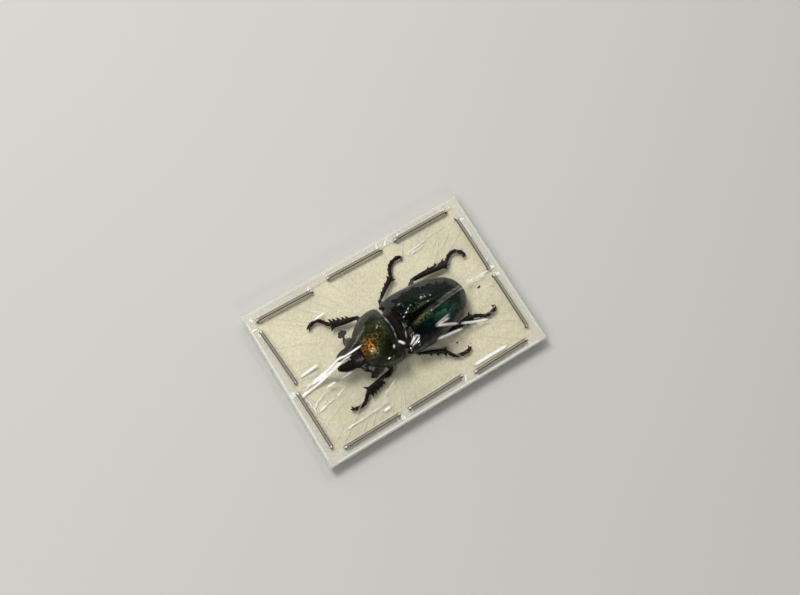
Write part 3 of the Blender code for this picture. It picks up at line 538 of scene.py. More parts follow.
def ball(centre, radius, squash=(1, 1, 1), segments=20, rows=12):
    """A closed ball, squashed along the axes."""
    rings = []
    for i in range(1, rows):
        polar = math.pi * i / rows
        rings.append([
            Vector(centre) + Vector((
                radius * squash[0] * math.sin(polar) * math.cos(2 * math.pi * j / segments),
                radius * squash[1] * math.sin(polar) * math.sin(2 * math.pi * j / segments),
                radius * squash[2] * math.cos(polar),
            ))
            for j in range(segments)
        ])
    points, faces = shell_of(rings)
    points[-2] = tuple(Vector(centre) + Vector((0, 0, radius * squash[2])))
    points[-1] = tuple(Vector(centre) - Vector((0, 0, radius * squash[2])))
    return points, faces


def melted(name, shells, voxel, smoothing=4):
    """Closed shells grown together into one smooth closed surface."""
    thing = in_scene(name, closed_mesh(name, shells))
    merge = thing.modifiers.new("melt", "REMESH")
    merge.mode = "VOXEL"
    merge.voxel_size = voxel
    even = thing.modifiers.new("even", "SMOOTH")
    even.factor = 0.5
    even.iterations = smoothing
    graph = bpy.context.evaluated_depsgraph_get()
    mesh = bpy.data.meshes.new_from_object(thing.evaluated_get(graph))
    bpy.data.objects.remove(thing, do_unlink=True)
    return mesh


def beetle_matrix():
    """Brings the beetle from its own millimetres to its place on the card."""
    place = Matrix.Translation((0, BEETLE_SHIFT * MM, CARD_TOP * MM))
    return place @ Matrix.Rotation(BEETLE_TURN, 4, "Z") @ Matrix.Scale(MM, 4)


def add_piece(name, mesh, material, nodes, matrix=None):
    """A finished piece: its mesh brought to metres, its finish, and what it stands for."""
    mesh.transform(matrix or Matrix.Scale(MM, 4))
    mesh.shade_smooth()
    mesh.materials.clear()
    mesh.materials.append(material)
    mesh.name = name
    piece = in_scene(name, mesh)
    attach(piece, "root")
    if nodes:
        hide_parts(*nodes)
    return piece


def add_beetle_piece(context, name, mesh, finish, nodes):
    """A finished piece of the beetle, moved and turned to its place on the card."""
    return add_piece(name, mesh, finishes(context)[finish], nodes, beetle_matrix())


def squared(value, power):
    """A share from -1 to 1 with its curve squared off, its sign kept."""
    return math.copysign(abs(value) ** power, value)


def body_ring(x, half_width, top, side, bottom, count):
    """A beetle's cross-section: a domed back, a keeled side and a flatter belly."""
    ring = []
    for k in range(count):
        angle = 2 * math.pi * k / count
        rise = math.sin(angle)
        y = half_width * squared(math.cos(angle), 0.9)
        z = side + (top - side) * rise**0.85 if rise >= 0 else side - (side - bottom) * abs(rise) ** 0.8
        ring.append(Vector((x, y, z)))
    return ring


def body_shell(stations, rows, count, carve):
    """A body piece through its stations, carved, with its ends rounded in."""
    first, last = stations[0][0], stations[-1][0]
    sign = 1 if last > first else -1
    rings = []
    for k in range(rows + 1):
        x = first + (last - first) * k / rows
        values = [smooth_value(stations, x, column) for column in (1, 2, 3, 4)]
        rings.append([carve(point, k / rows) for point in body_ring(x, *values, count=count)])
    for end, outward in ((0, -sign), (-1, sign)):
        ring = rings[end]
        middle = sum(ring, Vector()) / count
        extra = []
        for turn in BODY_END_TURNS:
            shrink = 1 - BODY_END_ROUND * (1 - math.cos(math.radians(turn)))
            push = Vector((outward * BODY_END_ROUND * math.sin(math.radians(turn)), 0, 0))
            extra.append([middle + (point - middle) * shrink + push for point in ring])
        rings = extra[::-1] + rings if end == 0 else rings + extra
    return shell_of(rings)


def scutellum_half(x):
    """Half width of the scutellum at x, zero behind its point (mm)."""
    t = (x - SCUTELLUM_FRONT) / SCUTELLUM_LENGTH
    if t >= 1:
        return 0.0
    return SCUTELLUM_HALF_WIDTH * math.sqrt(max(0.0, 1 - max(t, 0.0) ** 1.6))


def elytron_point(along, around, inset, side):
    """A point of a wing case: along from front to tail, around from seam to edge."""
    shoulder = around**1.7
    front = SCUTELLUM_FRONT + 0.35 + (SHOULDER_FRONT - SCUTELLUM_FRONT - 0.35) * shoulder
    tail = ELYTRA_STATIONS[-1][0]
    x = front + (tail - front) * along
    half = smooth_value(ELYTRA_STATIONS, x, 1)
    top = smooth_value(ELYTRA_STATIONS, x, 2)
    edge = smooth_value(ELYTRA_STATIONS, x, 3)
    wall = inset * min(1.0, 0.35 * half + 0.25)
    gap = scutellum_half(x)
    seam = 0.06 + (gap + 0.18 if gap > 0 else 0.0)
    seam = min(seam, half - 0.5)
    angle = around * math.radians(98)
    y = seam + (half - wall - seam) * math.sin(min(angle, math.pi / 2)) ** 0.95
    z = edge + (top - wall - edge) * max(0.0, math.cos(angle)) ** 0.8
    if around > 0.95:
        low = (around - 0.95) / 0.05
        z -= 0.3 * low
        y -= 0.1 * low
    point = Vector((x, y, z))
    if inset == 0:
        lift = 0.05 * bell(around, 0.035, 0.03) - 0.05 * bell(around, 0.1, 0.03)
        lift += 0.06 * bell(around, 0.93, 0.02) - 0.07 * bell(around, 0.88, 0.022)
        lift += 0.16 * bell(around, 0.66, 0.09) * bell(along, 0.07, 0.05)
        fade = min(1.0, along * 5) * min(1.0, (1 - along) * 5)
        for line in (0.3, 0.47, 0.64):
            lift += 0.018 * bell(around, line, 0.03) * fade
        lift += 0.03 * grain(x * 1.6, y * 0.8, side * 3.0, 1.0)
        dented = 0.012 + 0.03 * bell(x, 3.4, 1.8) * bell(y * side, 0.9, 1.2)
        dented += 0.02 * bell(y * side, -2.6, 1.0)
        lift += dented * grain(x, y, side * 3.0, 0.34)
        tilt = min(angle, math.pi / 2)
        point += Vector((0, math.sin(tilt), math.cos(tilt))) * lift
    point.y *= side
    return point


# Finishes


def put(tree, socket, value):
    """Set a socket, or link it where the value comes from another node."""
    if isinstance(value, bpy.types.NodeSocket):
        tree.links.new(value, socket)
    else:
        socket.default_value = value


def node(tree, kind, inputs=None, **settings):
    """A node with its settings, and its inputs set or linked."""
    made = tree.nodes.new(kind)
    for key, value in settings.items():
        setattr(made, key, value)
    for key, value in (inputs or {}).items():
        put(tree, made.inputs[key], value)
    return made


def math_node(tree, operation, *values):
    """The result of a maths node."""
    made = node(tree, "ShaderNodeMath", dict(enumerate(values)), operation=operation)
    return made.outputs[0]


def spread(tree, value, low, high, to_low=0.0, to_high=1.0):
    """A value brought from one range to another, smoothly and held at its ends."""
    inputs = {
        "Value": value, "From Min": low, "From Max": high, "To Min": to_low, "To Max": to_high,
    }
    made = node(tree, "ShaderNodeMapRange", inputs, interpolation_type="SMOOTHSTEP")
    return made.outputs["Result"]


def mixed(tree, share, first, second):
    """One colour laid over another by a share."""
    made = node(tree, "ShaderNodeMix", data_type="RGBA")
    for key, value in ((0, share), (6, first), (7, second)):
        put(tree, made.inputs[key], (*value, 1.0) if isinstance(value, tuple) else value)
    return made.outputs[2]


def cloudy(tree, vector, scale, detail=2.0, roughness=0.5):
    """Soft noise over a surface."""
    made = node(tree, "ShaderNodeTexNoise", {
        "Vector": vector, "Scale": scale, "Detail": detail, "Roughness": roughness,
    })
    return made.outputs[0]


def stored(tree, name):
    """A value kept on a piece's own points."""
    return node(tree, "ShaderNodeAttribute", attribute_name=name).outputs["Fac"]


def stretched(tree, vector, scale):
    """Coordinates scaled by a factor along each axis."""
    return node(tree, "ShaderNodeMapping", {"Vector": vector, "Scale": scale}).outputs[0]


def new_group(name, inputs, outputs):
    """A shader group with its named inputs and outputs; a default of None is a vector."""
    group = bpy.data.node_groups.new(name, "ShaderNodeTree")
    for label, value in inputs:
        kind = "NodeSocketVector" if value is None else "NodeSocketFloat"
        socket = group.interface.new_socket(label, in_out="INPUT", socket_type=kind)
        if value is not None:
            socket.default_value = value
    for label in outputs:
        group.interface.new_socket(label, in_out="OUTPUT", socket_type="NodeSocketFloat")
    given = group.nodes.new("NodeGroupInput").outputs
    return group, given, group.nodes.new("NodeGroupOutput").inputs


def sculpture_group():
    """Fine pits and cross wrinkles of a beetle's shell."""
    group, given, out = new_group(
        "Shell Sculpture",
        (
            ("Vector", None), ("Pit Scale", 5.0), ("Pit Size", 0.35), ("Pit Depth", 1.0),
            ("Wrinkle Scale", 2.0), ("Wrinkle Depth", 0.5),
        ),
        ("Height", "Pits", "Mottle"),
    )
    cells = node(group, "ShaderNodeTexVoronoi", {
        "Vector": given["Vector"], "Scale": given["Pit Scale"], "Randomness": 0.75,
    })
    pits = math_node(group, "DIVIDE", cells.outputs["Distance"], given["Pit Size"])
    pits = spread(group, pits, 0.55, 1.15, 1.0, 0.0)
    ripple = cloudy(group, given["Vector"], given["Wrinkle Scale"], 4.0, 0.6)
    dip = math_node(group, "MULTIPLY", pits, given["Pit Depth"])
    rise = math_node(group, "MULTIPLY", ripple, given["Wrinkle Depth"])
    put(group, out["Height"], math_node(group, "SUBTRACT", rise, dip))
    put(group, out["Pits"], pits)
    put(group, out["Mottle"], cloudy(group, given["Vector"], 0.9, 3.0))
    return group


def dust_group():
    """Fine dust and lint that has settled on a surface."""
    group, given, out = new_group(
        "Settled Dust", (("Vector", None), ("Amount", 0.2), ("Scale", 3.0)), ("Dust",)
    )
    cloud = cloudy(group, given["Vector"], given["Scale"], 6.0, 0.7)
    specks = node(group, "ShaderNodeTexVoronoi", {
        "Vector": given["Vector"], "Scale": math_node(group, "MULTIPLY", given["Scale"], 2.5),
    })
    haze = spread(group, cloud, 0.5, 0.75)
    dots = spread(group, specks.outputs["Distance"], 0.06, 0.14, 1.0, 0.0)
    total = math_node(group, "ADD", math_node(group, "MULTIPLY", haze, 0.6), dots)
    amount = math_node(group, "MULTIPLY", total, given["Amount"])
    put(group, out["Dust"], math_node(group, "MINIMUM", amount, 1.0))
    return group


def new_material(name, **sockets):
    """A material, its tree, its Principled BSDF and object coordinates in millimetres."""
    material = bpy.data.materials.new(name)
    material.use_nodes = True
    tree = material.node_tree
    shader = tree.nodes["Principled BSDF"]
    for key, value in sockets.items():
        shader.inputs[key.replace("_", " ")].default_value = value
    coordinates = tree.nodes.new("ShaderNodeTexCoord").outputs["Object"]
    return tree, shader, stretched(tree, coordinates, (1 / MM, 1 / MM, 1 / MM))


def link_bump(tree, shader, height, distance, strength=1.0):
    """A bump of a height field on a shader's normal."""
    bump = node(tree, "ShaderNodeBump", {
        "Height": height, "Distance": distance * MM, "Strength": strength,
    })
    put(tree, shader.inputs["Normal"], bump.outputs[0])
    return bump.outputs[0]


def nearness(tree, vector, centre, reach, turn=0.0):
    """From 0 at a place to 1 at the edge of a turned ellipsoid round it (mm)."""
    sized = node(tree, "ShaderNodeMapping", {
        "Vector": vector, "Location": centre, "Rotation": (0, 0, math.radians(turn)),
        "Scale": reach,
    }, vector_type="TEXTURE")
    length = node(tree, "ShaderNodeVectorMath", {0: sized.outputs[0]}, operation="LENGTH")
    return length.outputs["Value"]


class Shell:
    """A shell's finish: pits and wrinkles, settled dust, roughness and bump round a colour."""

    def __init__(self, groups, name, pits, wrinkles, **sockets):
        self.dust = groups["dust"]
        self.tree, self.shader, self.vector = new_material(name, **sockets)
        keys = ("Vector", "Pit Scale", "Pit Size", "Pit Depth", "Wrinkle Scale", "Wrinkle Depth")
        made = node(self.tree, "ShaderNodeGroup", node_tree=groups["sculpture"])
        for key, value in zip(keys, (self.vector, *pits, *wrinkles)):
            put(self.tree, made.inputs[key], value)
        self.height, self.pits, self.mottle = (made.outputs[k] for k in ("Height", "Pits", "Mottle"))

    def finish(self, base, rough, bump, dust=None):
        """Lay dust as (amount, scale, colour) on the base colour, and link what is left."""
        tree = self.tree
        if dust:
            amount, scale, colour = dust
            laid = node(tree, "ShaderNodeGroup", node_tree=self.dust)
            for key, value in (("Vector", self.vector), ("Amount", amount), ("Scale", scale)):
                put(tree, laid.inputs[key], value)
            base = mixed(tree, laid.outputs[0], base, colour)
        put(tree, self.shader.inputs["Base Color"], base)
        put(tree, self.shader.inputs["Roughness"], rough)
        link_bump(tree, self.shader, self.height, bump)


def green_gold_material(groups, colours):
    """The prothorax: a copper glow that falls off to olive and black."""
    shell = Shell(groups, "green_gold", (3.1, 0.40, 1.0), (3.0, 0.35),
                  Metallic=0.85, Coat_Weight=0.2, Coat_Roughness=0.2)
    tree = shell.tree
    # Painted highlight: the copper centre and its ramp sit where a reflection falls, over the shell's own
    # colours
    away = nearness(tree, shell.vector, (-7.6, -1.6, 8.0), (6.8, 3.5, 7.0), 26)
    away = math_node(tree, "ADD", away, math_node(tree, "MULTIPLY_ADD", shell.mottle, 0.5, -0.25))
    ramp = node(tree, "ShaderNodeValToRGB", {"Fac": away})
    stops = (
        (0.0, tuple(colours.copper)),
        (0.20, (0.60, 0.17, 0.022)),
        (0.33, (0.30, 0.20, 0.04)),
        (0.58, (0.10, 0.105, 0.022)),
        (0.82, (0.018, 0.022, 0.009)),
        (1.0, (0.005, 0.006, 0.004)),
    )
    elements = ramp.color_ramp.elements
    elements[0].color, elements[1].color = (*stops[0][1], 1.0), (*stops[-1][1], 1.0)
    for position, colour in stops[1:-1]:
        elements.new(position).color = (*colour, 1.0)
    fleck = spread(tree, cloudy(tree, shell.vector, 2.5, 3.0, 0.7), 0.46, 0.56, 0.97, 0.0)
    base = mixed(tree, fleck, ramp.outputs[0], (0.02, 0.03, 0.008))
    # Painted shade: the pits are darkened nearly to black
    base = mixed(tree, math_node(tree, "MULTIPLY", shell.pits, 0.85), base, (0.006, 0.006, 0.003))
    shell.finish(base, spread(tree, shell.pits, 0.0, 1.0, 0.36, 0.6), 0.035,
                 (0.04, 2.0, (0.3, 0.29, 0.25)))


def wing_case_material(groups, colours):
    """The wing cases: near black, with a teal band, a bright patch and golden flecks."""
    shell = Shell(groups, "teal_case", (3.4, 0.25, 0.35), (2.6, 1.0),
                  Metallic=0.8, Specular_IOR_Level=0.3, Coat_Weight=0.15, Coat_Roughness=0.1)
    tree, vector = shell.tree, shell.vector

    def patch(centre, reach, turn, low, high, most):
        return spread(tree, nearness(tree, vector, centre, reach, turn), low, high, most, 0.0)

    uneven = math_node(tree, "MULTIPLY_ADD", shell.mottle, 1.3, -0.65)
    # Painted sheen: a teal stripe on the left case and a faint patch on the right, over the cases' own teal
    teal_stripe_and_painted_sheen = nearness(tree, vector, (8.0, -3.1, 8.0), (5.8, 2.1, 8.0))
    teal_stripe_and_painted_sheen = spread(tree, math_node(tree, "ADD", teal_stripe_and_painted_sheen, uneven), 0.15, 1.05, 1.0, 0.0)
    side = patch((3.6, 1.6, 8.5), (2.6, 1.6, 8.0), 0.0, 0.2, 1.1, 0.12)
    share = math_node(tree, "MAXIMUM", teal_stripe_and_painted_sheen, side)
    patchy = cloudy(tree, stretched(tree, vector, (0.35, 0.9, 0.5)), 1.1, 4.0)
    share = math_node(tree, "MULTIPLY", share, spread(tree, patchy, 0.40, 0.54, 0.15, 1.1))
    deep = mixed(tree, shell.mottle, (0.001, 0.003, 0.0025), (0.003, 0.009, 0.006))
    # Painted highlight: a lighter teal patch inside the stripe
    bright = patch((9.0, -2.8, 8.5), (3.4, 0.9, 8.0), -8, 0.2, 1.2, 0.8)
    bright = math_node(tree, "MULTIPLY", bright, spread(tree, shell.mottle, 0.35, 0.6))
    base = mixed(tree, share, deep, mixed(tree, bright, tuple(colours.teal), (0.07, 0.24, 0.17)))
    # Golden and olive specks, partly painted sparkle near the seam
    golden = patch((4.9, -2.1, 8.5), (3.2, 1.0, 8.0), 12, 0.3, 1.0, 0.8)
    olive = patch((4.8, 0.3, 8.5), (2.8, 0.9, 8.0), 12, 0.3, 1.0, 0.18)
    fleck = spread(tree, cloudy(tree, vector, 3.2, 3.0), 0.47, 0.58)
    specks_and_painted_sparkle = math_node(tree, "MULTIPLY", math_node(tree, "MAXIMUM", golden, olive), fleck)
    base = mixed(tree, specks_and_painted_sparkle, base, (0.28, 0.36, 0.08))
    shell.finish(base, spread(tree, shell.mottle, 0.3, 0.7, 0.24, 0.42), 0.03,
                 (0.05, 1.8, (0.3, 0.3, 0.28)))


def dark_shell_material(groups, colours):
    """Brown-black shell of head, jaws, feelers and belly."""
    shell = Shell(groups, "dark_brown_shell", (6.0, 0.4, 0.8), (3.5, 0.6),
                  Specular_IOR_Level=0.16, Coat_Weight=0.0, Coat_Roughness=0.2)
    tint = spread(shell.tree, shell.mottle, 0.4, 0.7)
    base = mixed(shell.tree, tint, tuple(colours.dark), (0.012, 0.007, 0.0045))
    shell.finish(base, spread(shell.tree, shell.pits, 0, 1, 0.5, 0.7), 0.03,
                 (0.03, 2.5, (0.28, 0.25, 0.2)))


def leg_material(groups, colours):
    """The legs: black to dark brown, a little glossier."""
    shell = Shell(groups, "leg_black", (7.0, 0.35, 0.6), (4.0, 0.8),
                  Specular_IOR_Level=0.16, Coat_Weight=0.05, Coat_Roughness=0.2)
    tint = spread(shell.tree, shell.mottle, 0.42, 0.68)
    base = mixed(shell.tree, tint, (0.007, 0.0055, 0.005), (0.018, 0.0125, 0.009))
    shell.finish(base, spread(shell.tree, shell.mottle, 0.3, 0.7, 0.24, 0.42), 0.02,
                 (0.03, 3.0, (0.3, 0.26, 0.2)))


def eye_material(groups, colours):
    """The eyes: black and glossy, with fine facets."""
    shell = Shell(groups, "eye_gloss", (16.0, 0.5, -0.6), (4.0, 0.0),
                  Coat_Weight=0.7, Coat_Roughness=0.1)
    base = mixed(shell.tree, shell.mottle, (0.006, 0.004, 0.003), (0.02, 0.011, 0.007))
    shell.finish(base, spread(shell.tree, shell.pits, 0, 1, 0.22, 0.14), 0.008)


def hair_material(name, root, tip):
    """Hair from its dark root to its pale tip, by the share kept in its own attribute."""
    tree, shader, vector = new_material(name, Roughness=0.45, Specular_IOR_Level=0.4)
    blotch = math_node(tree, "MULTIPLY_ADD", cloudy(tree, vector, 1.4), 0.5, -0.25)
    along = math_node(tree, "ADD", blotch, stored(tree, "along"))
    put(tree, shader.inputs["Base Color"], mixed(tree, along, root, tip))


def card_material(groups, colours):
    """Pale card with broad warm and cool areas, fine fibres and a few specks."""
    tree, shader, vector = new_material("pale_card", Roughness=0.85, Specular_IOR_Level=0.25)
    fine = cloudy(tree, stretched(tree, vector, (1.0, 0.4, 1.0)), 4.2, 6.0, 0.7)
    broad = spread(tree, cloudy(tree, vector, 0.09, 3.0), 0.35, 0.65)
    warm = tuple(value * 1.03 for value in colours.card)
    cool = tuple(value * factor for value, factor in zip(colours.card, (0.90, 0.91, 0.93)))
    base = mixed(tree, broad, cool, warm)
    base = mixed(tree, spread(tree, fine, 0.36, 0.62, 0.5, 0.0), base, (0.38, 0.35, 0.26))
    specks = node(tree, "ShaderNodeTexVoronoi", {"Vector": vector, "Scale": 0.55})
    dot = spread(tree, specks.outputs["Distance"], 0.025, 0.05, 0.55, 0.0)
    put(tree, shader.inputs["Base Color"], mixed(tree, dot, base, (0.22, 0.19, 0.14)))
    link_bump(tree, shader, fine, 0.05)


def wire_material(groups, colours):
    """Dull grey wire, dark along its edges, with a glint at each bend of the crown."""
    tree, shader, vector = new_material("bent_wire", Metallic=0.45)
    lines = cloudy(tree, vector, 1.8, 6.0)
    edge = math_node(tree, "ABSOLUTE", stored(tree, "across"))
    base = mixed(tree, spread(tree, lines, 0.35, 0.7), (0.46, 0.43, 0.36), (0.32, 0.30, 0.25))
    # Painted shade: a dark stripe along both edges of the wire's top
    base = mixed(tree, spread(tree, edge, 0.24, 0.36), base, (0.045, 0.04, 0.03))
    base = mixed(tree, spread(tree, edge, 0.46, 0.499), base, (0.22, 0.205, 0.17))
    middle = spread(tree, edge, 0.18, 0.34, 1.0, 0.0)
    # Painted highlight: near white at each bend of the crown
    bright = math_node(tree, "MULTIPLY", stored(tree, "glint"), middle)
    put(tree, shader.inputs["Base Color"], mixed(tree, bright, base, (0.92, 0.90, 0.84)))
    put(tree, shader.inputs["Roughness"], spread(tree, lines, 0.3, 0.7, 0.22, 0.42))
    link_bump(tree, shader, lines, 0.012)


def film_material(groups, colours):
    """Clear film: mostly see-through and glossy, milky where it stands off, white in creases."""
    tree, shader, vector = new_material("stretched_film", Roughness=0.3, Specular_IOR_Level=0.5)
    veil, crease = stored(tree, "stand_off"), stored(tree, "crease")
    lines = cloudy(tree, stretched(tree, vector, (0.12, 2.2, 1.0)), 1.0, 5.0)
    uneven = spread(tree, cloudy(tree, vector, 0.5, 4.0), 0.3, 0.7, 0.7, 1.3)
    # Painted reflection: a faint grey haze where the film stands off
    painted_veil_haze = math_node(tree, "MULTIPLY", math_node(tree, "MULTIPLY", veil, 0.003), uneven)
    # Creased lines and painted highlights cover the film in white
    cover = math_node(tree, "ADD", painted_veil_haze, spread(tree, crease, 0.0, 0.75, 0.0, 0.95))
    # Grey for the painted haze, near white for creased lines and painted highlights
    pale = mixed(tree, lines, (0.84, 0.84, 0.82), (0.95, 0.95, 0.93))
    base = mixed(tree, spread(tree, crease, 0.05, 0.4), (0.53, 0.53, 0.49), pale)
    put(tree, shader.inputs["Base Color"], base)
    gloss = node(tree, "ShaderNodeBsdfGlossy", {"Color": (1.0, 0.98, 0.91, 1), "Roughness": 0.1})
    clear = node(tree, "ShaderNodeBsdfTransparent", {"Color": (0.985, 0.985, 0.98, 1)})
    sheen = node(tree, "ShaderNodeFresnel", {"IOR": 1.5})
    put(tree, sheen.inputs["Normal"], link_bump(tree, gloss, lines, 0.03, 0.6))
    inside = node(tree, "ShaderNodeNewGeometry").outputs["Backfacing"]
    facing = math_node(tree, "SUBTRACT", 1.0, inside)
    ragged = math_node(tree, "MULTIPLY_ADD", cloudy(tree, vector, 0.9, 3.0), 0.7, -0.35)
    free = spread(tree, math_node(tree, "ADD", veil, ragged), 0.38, 0.52, 0.08, 1.1)
    mirror = math_node(tree, "MULTIPLY", sheen.outputs[0], math_node(tree, "MULTIPLY", facing, free))
    skin = node(tree, "ShaderNodeMixShader", {0: mirror, 1: clear.outputs[0], 2: gloss.outputs[0]})
    whole = node(tree, "ShaderNodeMixShader", {0: cover, 1: skin.outputs[0], 2: shader.outputs[0]})
    put(tree, tree.nodes["Material Output"].inputs["Surface"], whole.outputs[0])


def floor_material(colour):
    """The plain floor, very slightly uneven in tone."""
    tree, shader, vector = new_material("pale_floor", Roughness=0.7)
    darker = tuple(value * 0.97 for value in colour)
    base = mixed(tree, cloudy(tree, vector, 0.01), colour, darker)
    put(tree, shader.inputs["Base Color"], base)
    return bpy.data.materials["pale_floor"]


def finishes(context):
    """Every finish, made once and found again by name."""
    names = {material.name for material in bpy.data.materials}
    if "stretched_film" not in names:
        colours = context.scene.beetle_colours
        groups = {"sculpture": sculpture_group(), "dust": dust_group()}
        for make in (
            green_gold_material, wing_case_material, dark_shell_material, leg_material,
            eye_material, card_material, wire_material, film_material,
        ):
            make(groups, colours)
        hair_material("golden_hair", (0.05, 0.02, 0.008), (0.24, 0.13, 0.04))
        hair_material("brown_hair", (0.01, 0.006, 0.004), (0.04, 0.022, 0.012))
    return bpy.data.materials


# Geometry Nodes


def modifier_mesh(thing, tree, values):
    """The plain mesh that a Geometry Nodes tree makes from an object, with named inputs."""
    modifier = thing.modifiers.new(tree.name, "NODES")
    modifier.node_group = tree
    for item in tree.interface.items_tree:
        if item.item_type == "SOCKET" and item.in_out == "INPUT" and item.name in values:
            modifier[item.identifier] = values[item.name]
    thing.update_tag()
    graph = bpy.context.evaluated_depsgraph_get()
    mesh = bpy.data.meshes.new_from_object(thing.evaluated_get(graph))
    thing.modifiers.remove(modifier)
    return mesh


def geometry_tree(name, *sizes):
    """A Geometry Nodes tree with geometry in and out, and named sizes in."""
    tree = bpy.data.node_groups.new(name, "GeometryNodeTree")
    tree.interface.new_socket("Geometry", in_out="INPUT", socket_type="NodeSocketGeometry")
    for label in sizes:
        tree.interface.new_socket(label, in_out="INPUT", socket_type="NodeSocketFloat")
    tree.interface.new_socket("Geometry", in_out="OUTPUT", socket_type="NodeSocketGeometry")
    return tree, tree.nodes.new("NodeGroupInput").outputs


def put_out(tree, geometry, material):
    """Real geometry with its finish, at the end of a tree."""
    plain = node(tree, "GeometryNodeRealizeInstances", {"Geometry": geometry}).outputs[0]
    done = node(tree, "GeometryNodeSetMaterial", {"Geometry": plain, "Material": material})
    tree.links.new(done.outputs[0], tree.nodes.new("NodeGroupOutput").inputs[0])
    return tree


def keep_value(tree, geometry, name, value):
    """Keep a value on the points of geometry under a name."""
    kept = node(tree, "GeometryNodeStoreNamedAttribute", {
        "Geometry": geometry, "Name": name, "Value": value,
    }, data_type="FLOAT", domain="POINT")
    return kept.outputs[0]


def place_parts(tree):
    """A point's place, as x, y and z."""
    place = node(tree, "GeometryNodeInputPosition").outputs[0]
    return node(tree, "ShaderNodeSeparateXYZ", {0: place}).outputs


def wire_tree(material):
    """Round-cornered wire swept along a path of edges."""
    tree, given = geometry_tree("Bent Wire", "Width", "Thickness", "Corner")
    path = node(tree, "GeometryNodeMeshToCurve", {"Mesh": given["Geometry"]}).outputs[0]
    flat = node(tree, "GeometryNodeCurvePrimitiveQuadrilateral", {
        "Width": given["Width"], "Height": given["Thickness"],
    })
    corner = node(tree, "GeometryNodeFilletCurve", {
        "Curve": flat.outputs[0], "Radius": given["Corner"],
    }, mode="POLY")
    corner.inputs["Count"].default_value = 4
    share = math_node(tree, "DIVIDE", place_parts(tree)["X"], given["Width"])
    wire = node(tree, "GeometryNodeCurveToMesh", {
        "Curve": path, "Profile Curve": keep_value(tree, corner.outputs[0], "across", share),
        "Fill Caps": True,
    })
    return put_out(tree, wire.outputs[0], material)


def hair_tree(material):
    """A tapered, slightly bent hair on every point, along the point's own aim."""
    tree, given = geometry_tree("Hairs " + material.name, "Radius")
    cone = node(tree, "GeometryNodeMeshCone", {
        "Vertices": 4, "Side Segments": 4, "Radius Top": 0.004, "Radius Bottom": given["Radius"],
        "Depth": 1.0,
    })
    height = place_parts(tree)["Z"]
    square = math_node(tree, "MULTIPLY", height, height)
    lean = node(tree, "ShaderNodeCombineXYZ", {0: math_node(tree, "MULTIPLY", square, 0.18)})
    bent = node(tree, "GeometryNodeSetPosition", {
        "Geometry": cone.outputs["Mesh"], "Offset": lean.outputs[0],
    })
    aim = node(tree, "GeometryNodeInputNamedAttribute", {"Name": "aim"}, data_type="FLOAT_VECTOR")
    reach = node(tree, "GeometryNodeInputNamedAttribute", {"Name": "reach"}, data_type="FLOAT")
    turn = node(tree, "FunctionNodeAlignRotationToVector", {"Vector": aim.outputs[0]}, axis="Z")
    size = node(tree, "ShaderNodeCombineXYZ", {0: 1.0, 1: 1.0, 2: reach.outputs[0]})
    placed = node(tree, "GeometryNodeInstanceOnPoints", {
        "Points": given["Geometry"], "Instance": keep_value(tree, bent.outputs[0], "along", height),
        "Rotation": turn.outputs[0], "Scale": size.outputs[0],
    })
    return put_out(tree, placed.outputs[0], material)


def hair_mesh(name, roots, material, radius):
    """Hairs from (root, aim, length) rows, with a map patch for each hair."""
    mesh = bpy.data.meshes.new(name)
    mesh.from_pydata([tuple(root) for root, aim, reach in roots], [], [])
    aims = mesh.attributes.new("aim", "FLOAT_VECTOR", "POINT")
    reaches = mesh.attributes.new("reach", "FLOAT", "POINT")
    for k, (root, aim, reach) in enumerate(roots):
        aims.data[k].vector = aim
        reaches.data[k].value = reach
    thing = in_scene(name, mesh)
    made = modifier_mesh(thing, hair_tree(material), {"Radius": radius})
    bpy.data.objects.remove(thing, do_unlink=True)
    per_hair = len(made.vertices) // len(roots)
    if per_hair * len(roots) != len(made.vertices):
        raise RuntimeError("the hairs have uneven point counts")
    chart = made.uv_layers.new(name="OFBake")
    span = max(max(abs(value) for value in root) for root, aim, reach in roots)
    for loop in made.loops:
        root = roots[loop.vertex_index // per_hair][0]
        step = loop.vertex_index % per_hair
        across = 0.0015 * math.cos(step * 2.4)
        along = 0.0015 * math.sin(step * 2.4)
        chart.data[loop.index].uv = (
            0.5 + 0.45 * root[0] / span + across, 0.5 + 0.45 * root[1] / span + along
        )
    return made


# Pieces


def build_card(context):
    """The card: a thin board with softened edges."""
    build = bmesh.new()
    bmesh.ops.create_cube(build, size=1)
    thickness = CARD_TOP - CARD_BOTTOM
    bmesh.ops.scale(build, vec=(CARD_LENGTH, CARD_WIDTH, thickness), verts=build.verts)
    bmesh.ops.translate(build, vec=(0, 0, CARD_BOTTOM + thickness / 2), verts=build.verts)
    upright = [edge for edge in build.edges if abs(edge.verts[0].co.z - edge.verts[1].co.z) > 1]
    bmesh.ops.bevel(build, geom=upright, offset=0.5, segments=5, profile=0.5, affect="EDGES")
    level = [
        edge for edge in build.edges
        if abs(edge.verts[0].co.z - edge.verts[1].co.z) < 0.01 and len(edge.link_faces) == 2
        and abs(edge.calc_face_angle()) > 1.0
    ]
    bmesh.ops.bevel(build, geom=level, offset=0.09, segments=3, profile=0.5, affect="EDGES")
    bmesh.ops.recalc_face_normals(build, faces=build.faces)
    mesh = mesh_from(build, "card_board")
    add_piece("card_board", mesh, finishes(context)["pale_card"], ["card"])
    mesh.set_sharp_from_angle(angle=math.radians(30))


